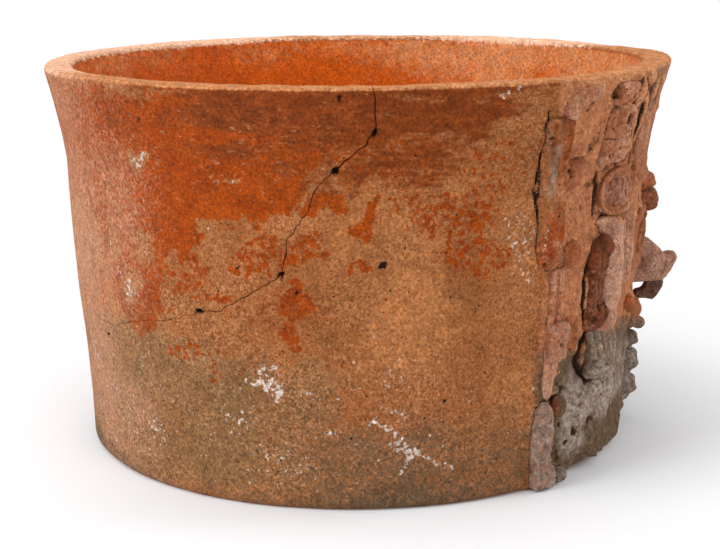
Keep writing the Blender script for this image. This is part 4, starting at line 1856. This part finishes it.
    def plate(self) -> Clay:
        """Headdress: a broad plate with a raised border and lobes pressed on at its ends."""
        wide, half = self.headdress_half
        clay = Clay(self.form, 0.0, self.headdress_z, 0.4, voxel=0.85)
        clay.slab((0, 0, 0), (wide - 1.5, half - 1.5, 1.2), 0.9)
        for arc in (-57, 57):
            clay.lump((arc, 4, 0.6), (7.0, 11.0, 2.4)).lump((arc * 0.94, -12, 0.6), (6.0, 6.0, 2.2))
        right, top = wide - 3.4, half - 3.2
        corners = [(4 - right, top), (right - 4, top), (right, top - 4), (right, 4 - top)]
        corners += [(-x, -y) for x, y in corners]
        clay.coil([(x, y, 0.2, 2.1) for x, y in spaced([*corners, corners[0]], 6.0)])
        return clay.cut([(8 - wide, 6.6 - half), (wide - 8, 6.4 - half)], 0.9, 0.6)

    def build(self, relief: Relief) -> None:
        """Build the pieces on the middle line."""
        pieces = (
            ("beard_tip", self.bead(6.4, (6.0, 3.6, 3.4)), Slot.ASH),
            ("beard_lower", self.grooved_bead(16.4, (7.6, 6.4, 9.8)), Slot.ASH, 0.1, 0.2),
            ("beard_upper", self.bead(29.7, (8.2, 7.0, 9.6)), Slot.ASH, 0.0, 0.4),
            ("chin", self.bead(40.7, (8.0, 4.2, 8.8)), Slot.SOOT, 0.2, 0.2, 0.4),
            ("tongue", self.tongue(), Slot.SOOT, 0.6, 0.0, 0.7, 0.16, -0.6),
            ("lip", self.lip(), Slot.PINK, 0.1, 0.06, 0.5, 0.16, -0.5),
            ("snout", self.snout(), Slot.DULL, 0.85, 0.0, 0.1, 0.35),
            ("snout_hook", self.hook(), Slot.SOOT, 0.35, 0.05, 0.0, 0.2),
            ("nose_bridge", self.nose_bridge(), Slot.PINK),
            ("brow_knob", self.brow_knob(), Slot.DULL, 0.35, 0.0, 0.3),
            ("brow_bead", self.bead(122.4, (6.6, 5.0, 8.8)), Slot.PINK),
            ("headdress", self.plate(), Slot.PINK, 0.3, 0.1),
        )
        for name, clay, slot, *weather in pieces:
            relief.lay(name, Side.MIDDLE, clay, slot, *weather)


# ---------------------------------------------------------------- studio


@dataclass
class Studio:
    """White sweep, soft lamps and the camera at the photograph's place."""

    camera_place: tuple[float, float, float] = (-0.7587, 0.0, 0.2481)
    pitch: float = 12.861
    roll: float = -0.48
    lens: float = 76.74
    sensor: float = 36.0
    shift: float = 0.0048
    floor_half: float = 3.0
    fade: tuple[float, float] = (0.18, 0.32)
    world_light: float = 0.55
    middle: tuple[float, float, float] = (0.0, 0.0, 0.09)
    softboxes: Rows = (
        ("key_softbox", (-0.7, 1.15, 0.95), 1.0, 16.0), ("fill_softbox", (-1.1, -0.6, 0.7), 0.9, 2.6),
        ("side_softbox", (0.15, -1.25, 0.7), 0.5, 5.0), ("top_softbox", (0.25, 0.2, 1.5), 1.2, 8.0),
    )

    def world(self) -> None:
        """Even white light, and white where the camera looks past the floor."""
        world = bpy.data.worlds.new("white_studio")
        bpy.context.scene.world = world
        g = Graph(world)
        seen = g.add("LightPath", give="Is Camera Ray")
        shown, light = (
            g.add("Background", {"Color": (1, 1, 1, 1), "Strength": power})
            for power in (1.0, self.world_light)
        )
        g.add("OutputWorld", {"Surface": g.add("MixShader", {0: seen, 1: light, 2: shown})})

    def floor(self) -> None:
        """Pale table that fades to white away from the object and keeps its shadow."""
        shape = bmesh.new()
        bmesh.ops.create_grid(shape, x_segments=24, y_segments=24, size=self.floor_half)
        table = new_object("table_top", mesh_from(shape, "table_top"))
        g = Graph(bpy.data.materials.new("matt_white_table"))
        away = g.add("VectorMath", {0: g.add("TexCoord", give="Object")}, "Value", operation="LENGTH")
        border = {"Value": away, "From Min": self.fade[0], "From Max": self.fade[1]}
        far = g.add("MapRange", border, interpolation_type="SMOOTHSTEP")
        seen = g.add("LightPath", give="Is Camera Ray")
        share = g.add("Math", {0: far, 1: seen}, operation="MULTIPLY")
        matt = g.add("BsdfDiffuse", {"Color": linear("f4f6f9")})
        white = g.add("Emission", {"Color": (1, 1, 1, 1), "Strength": 1.0})
        g.add("OutputMaterial", {"Surface": g.add("MixShader", {0: share, 1: matt, 2: white})})
        table.data.materials.append(g.owner)

    def lamps(self) -> None:
        """Key from the upper left, fill beside the camera, a side light over the relief, and the top."""
        for name, place, size, power in self.softboxes:
            data = bpy.data.lights.new(name, "AREA")
            data.size, data.energy = size, power
            lamp = bpy.data.objects.new(name, data)
            lamp.location = place
            lamp.rotation_euler = (Vector(self.middle) - Vector(place)).to_track_quat("-Z", "Y").to_euler()
            bpy.context.scene.collection.objects.link(lamp)

    def camera(self) -> None:
        """Camera at the photograph's viewing angle."""
        data = bpy.data.cameras.new("camera")
        data.lens, data.sensor_width, data.shift_x = self.lens, self.sensor, self.shift
        data.clip_start, data.clip_end = 0.01, 50.0
        camera = bpy.data.objects.new("camera", data)
        down = math.radians(self.pitch)
        ahead = Vector((math.cos(down), 0.0, -math.sin(down)))
        turn = ahead.to_track_quat("-Z", "Y").to_matrix().to_4x4()
        tilt = Matrix.Rotation(math.radians(self.roll), 4, "Z")
        camera.matrix_world = Matrix.Translation(self.camera_place) @ turn @ tilt
        bpy.context.scene.collection.objects.link(camera)
        bpy.context.scene.camera = camera

    def build(self) -> None:
        """Set up the whole studio."""
        bpy.context.scene.view_settings.view_transform = "Standard"
        self.world()
        self.floor()
        self.lamps()
        self.camera()


# ---------------------------------------------------------------- all of it


def main() -> None:
    """Build the vessel piece by piece."""
    logging.basicConfig(level=logging.INFO, format="%(message)s")
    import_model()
    form = DrumForm()
    wardrobe = Wardrobe()
    relief = Relief(form, wardrobe)
    SideStrip(form).build(relief)
    EarOrnament(form).build(relief)
    Face(form).build(relief)
    MaskMiddle(form).build(relief)
    Drum(form, WallWear(form), Break(form)).build(wardrobe, relief.footprint())
    Studio().build()


if __name__ == "__main__":
    main()
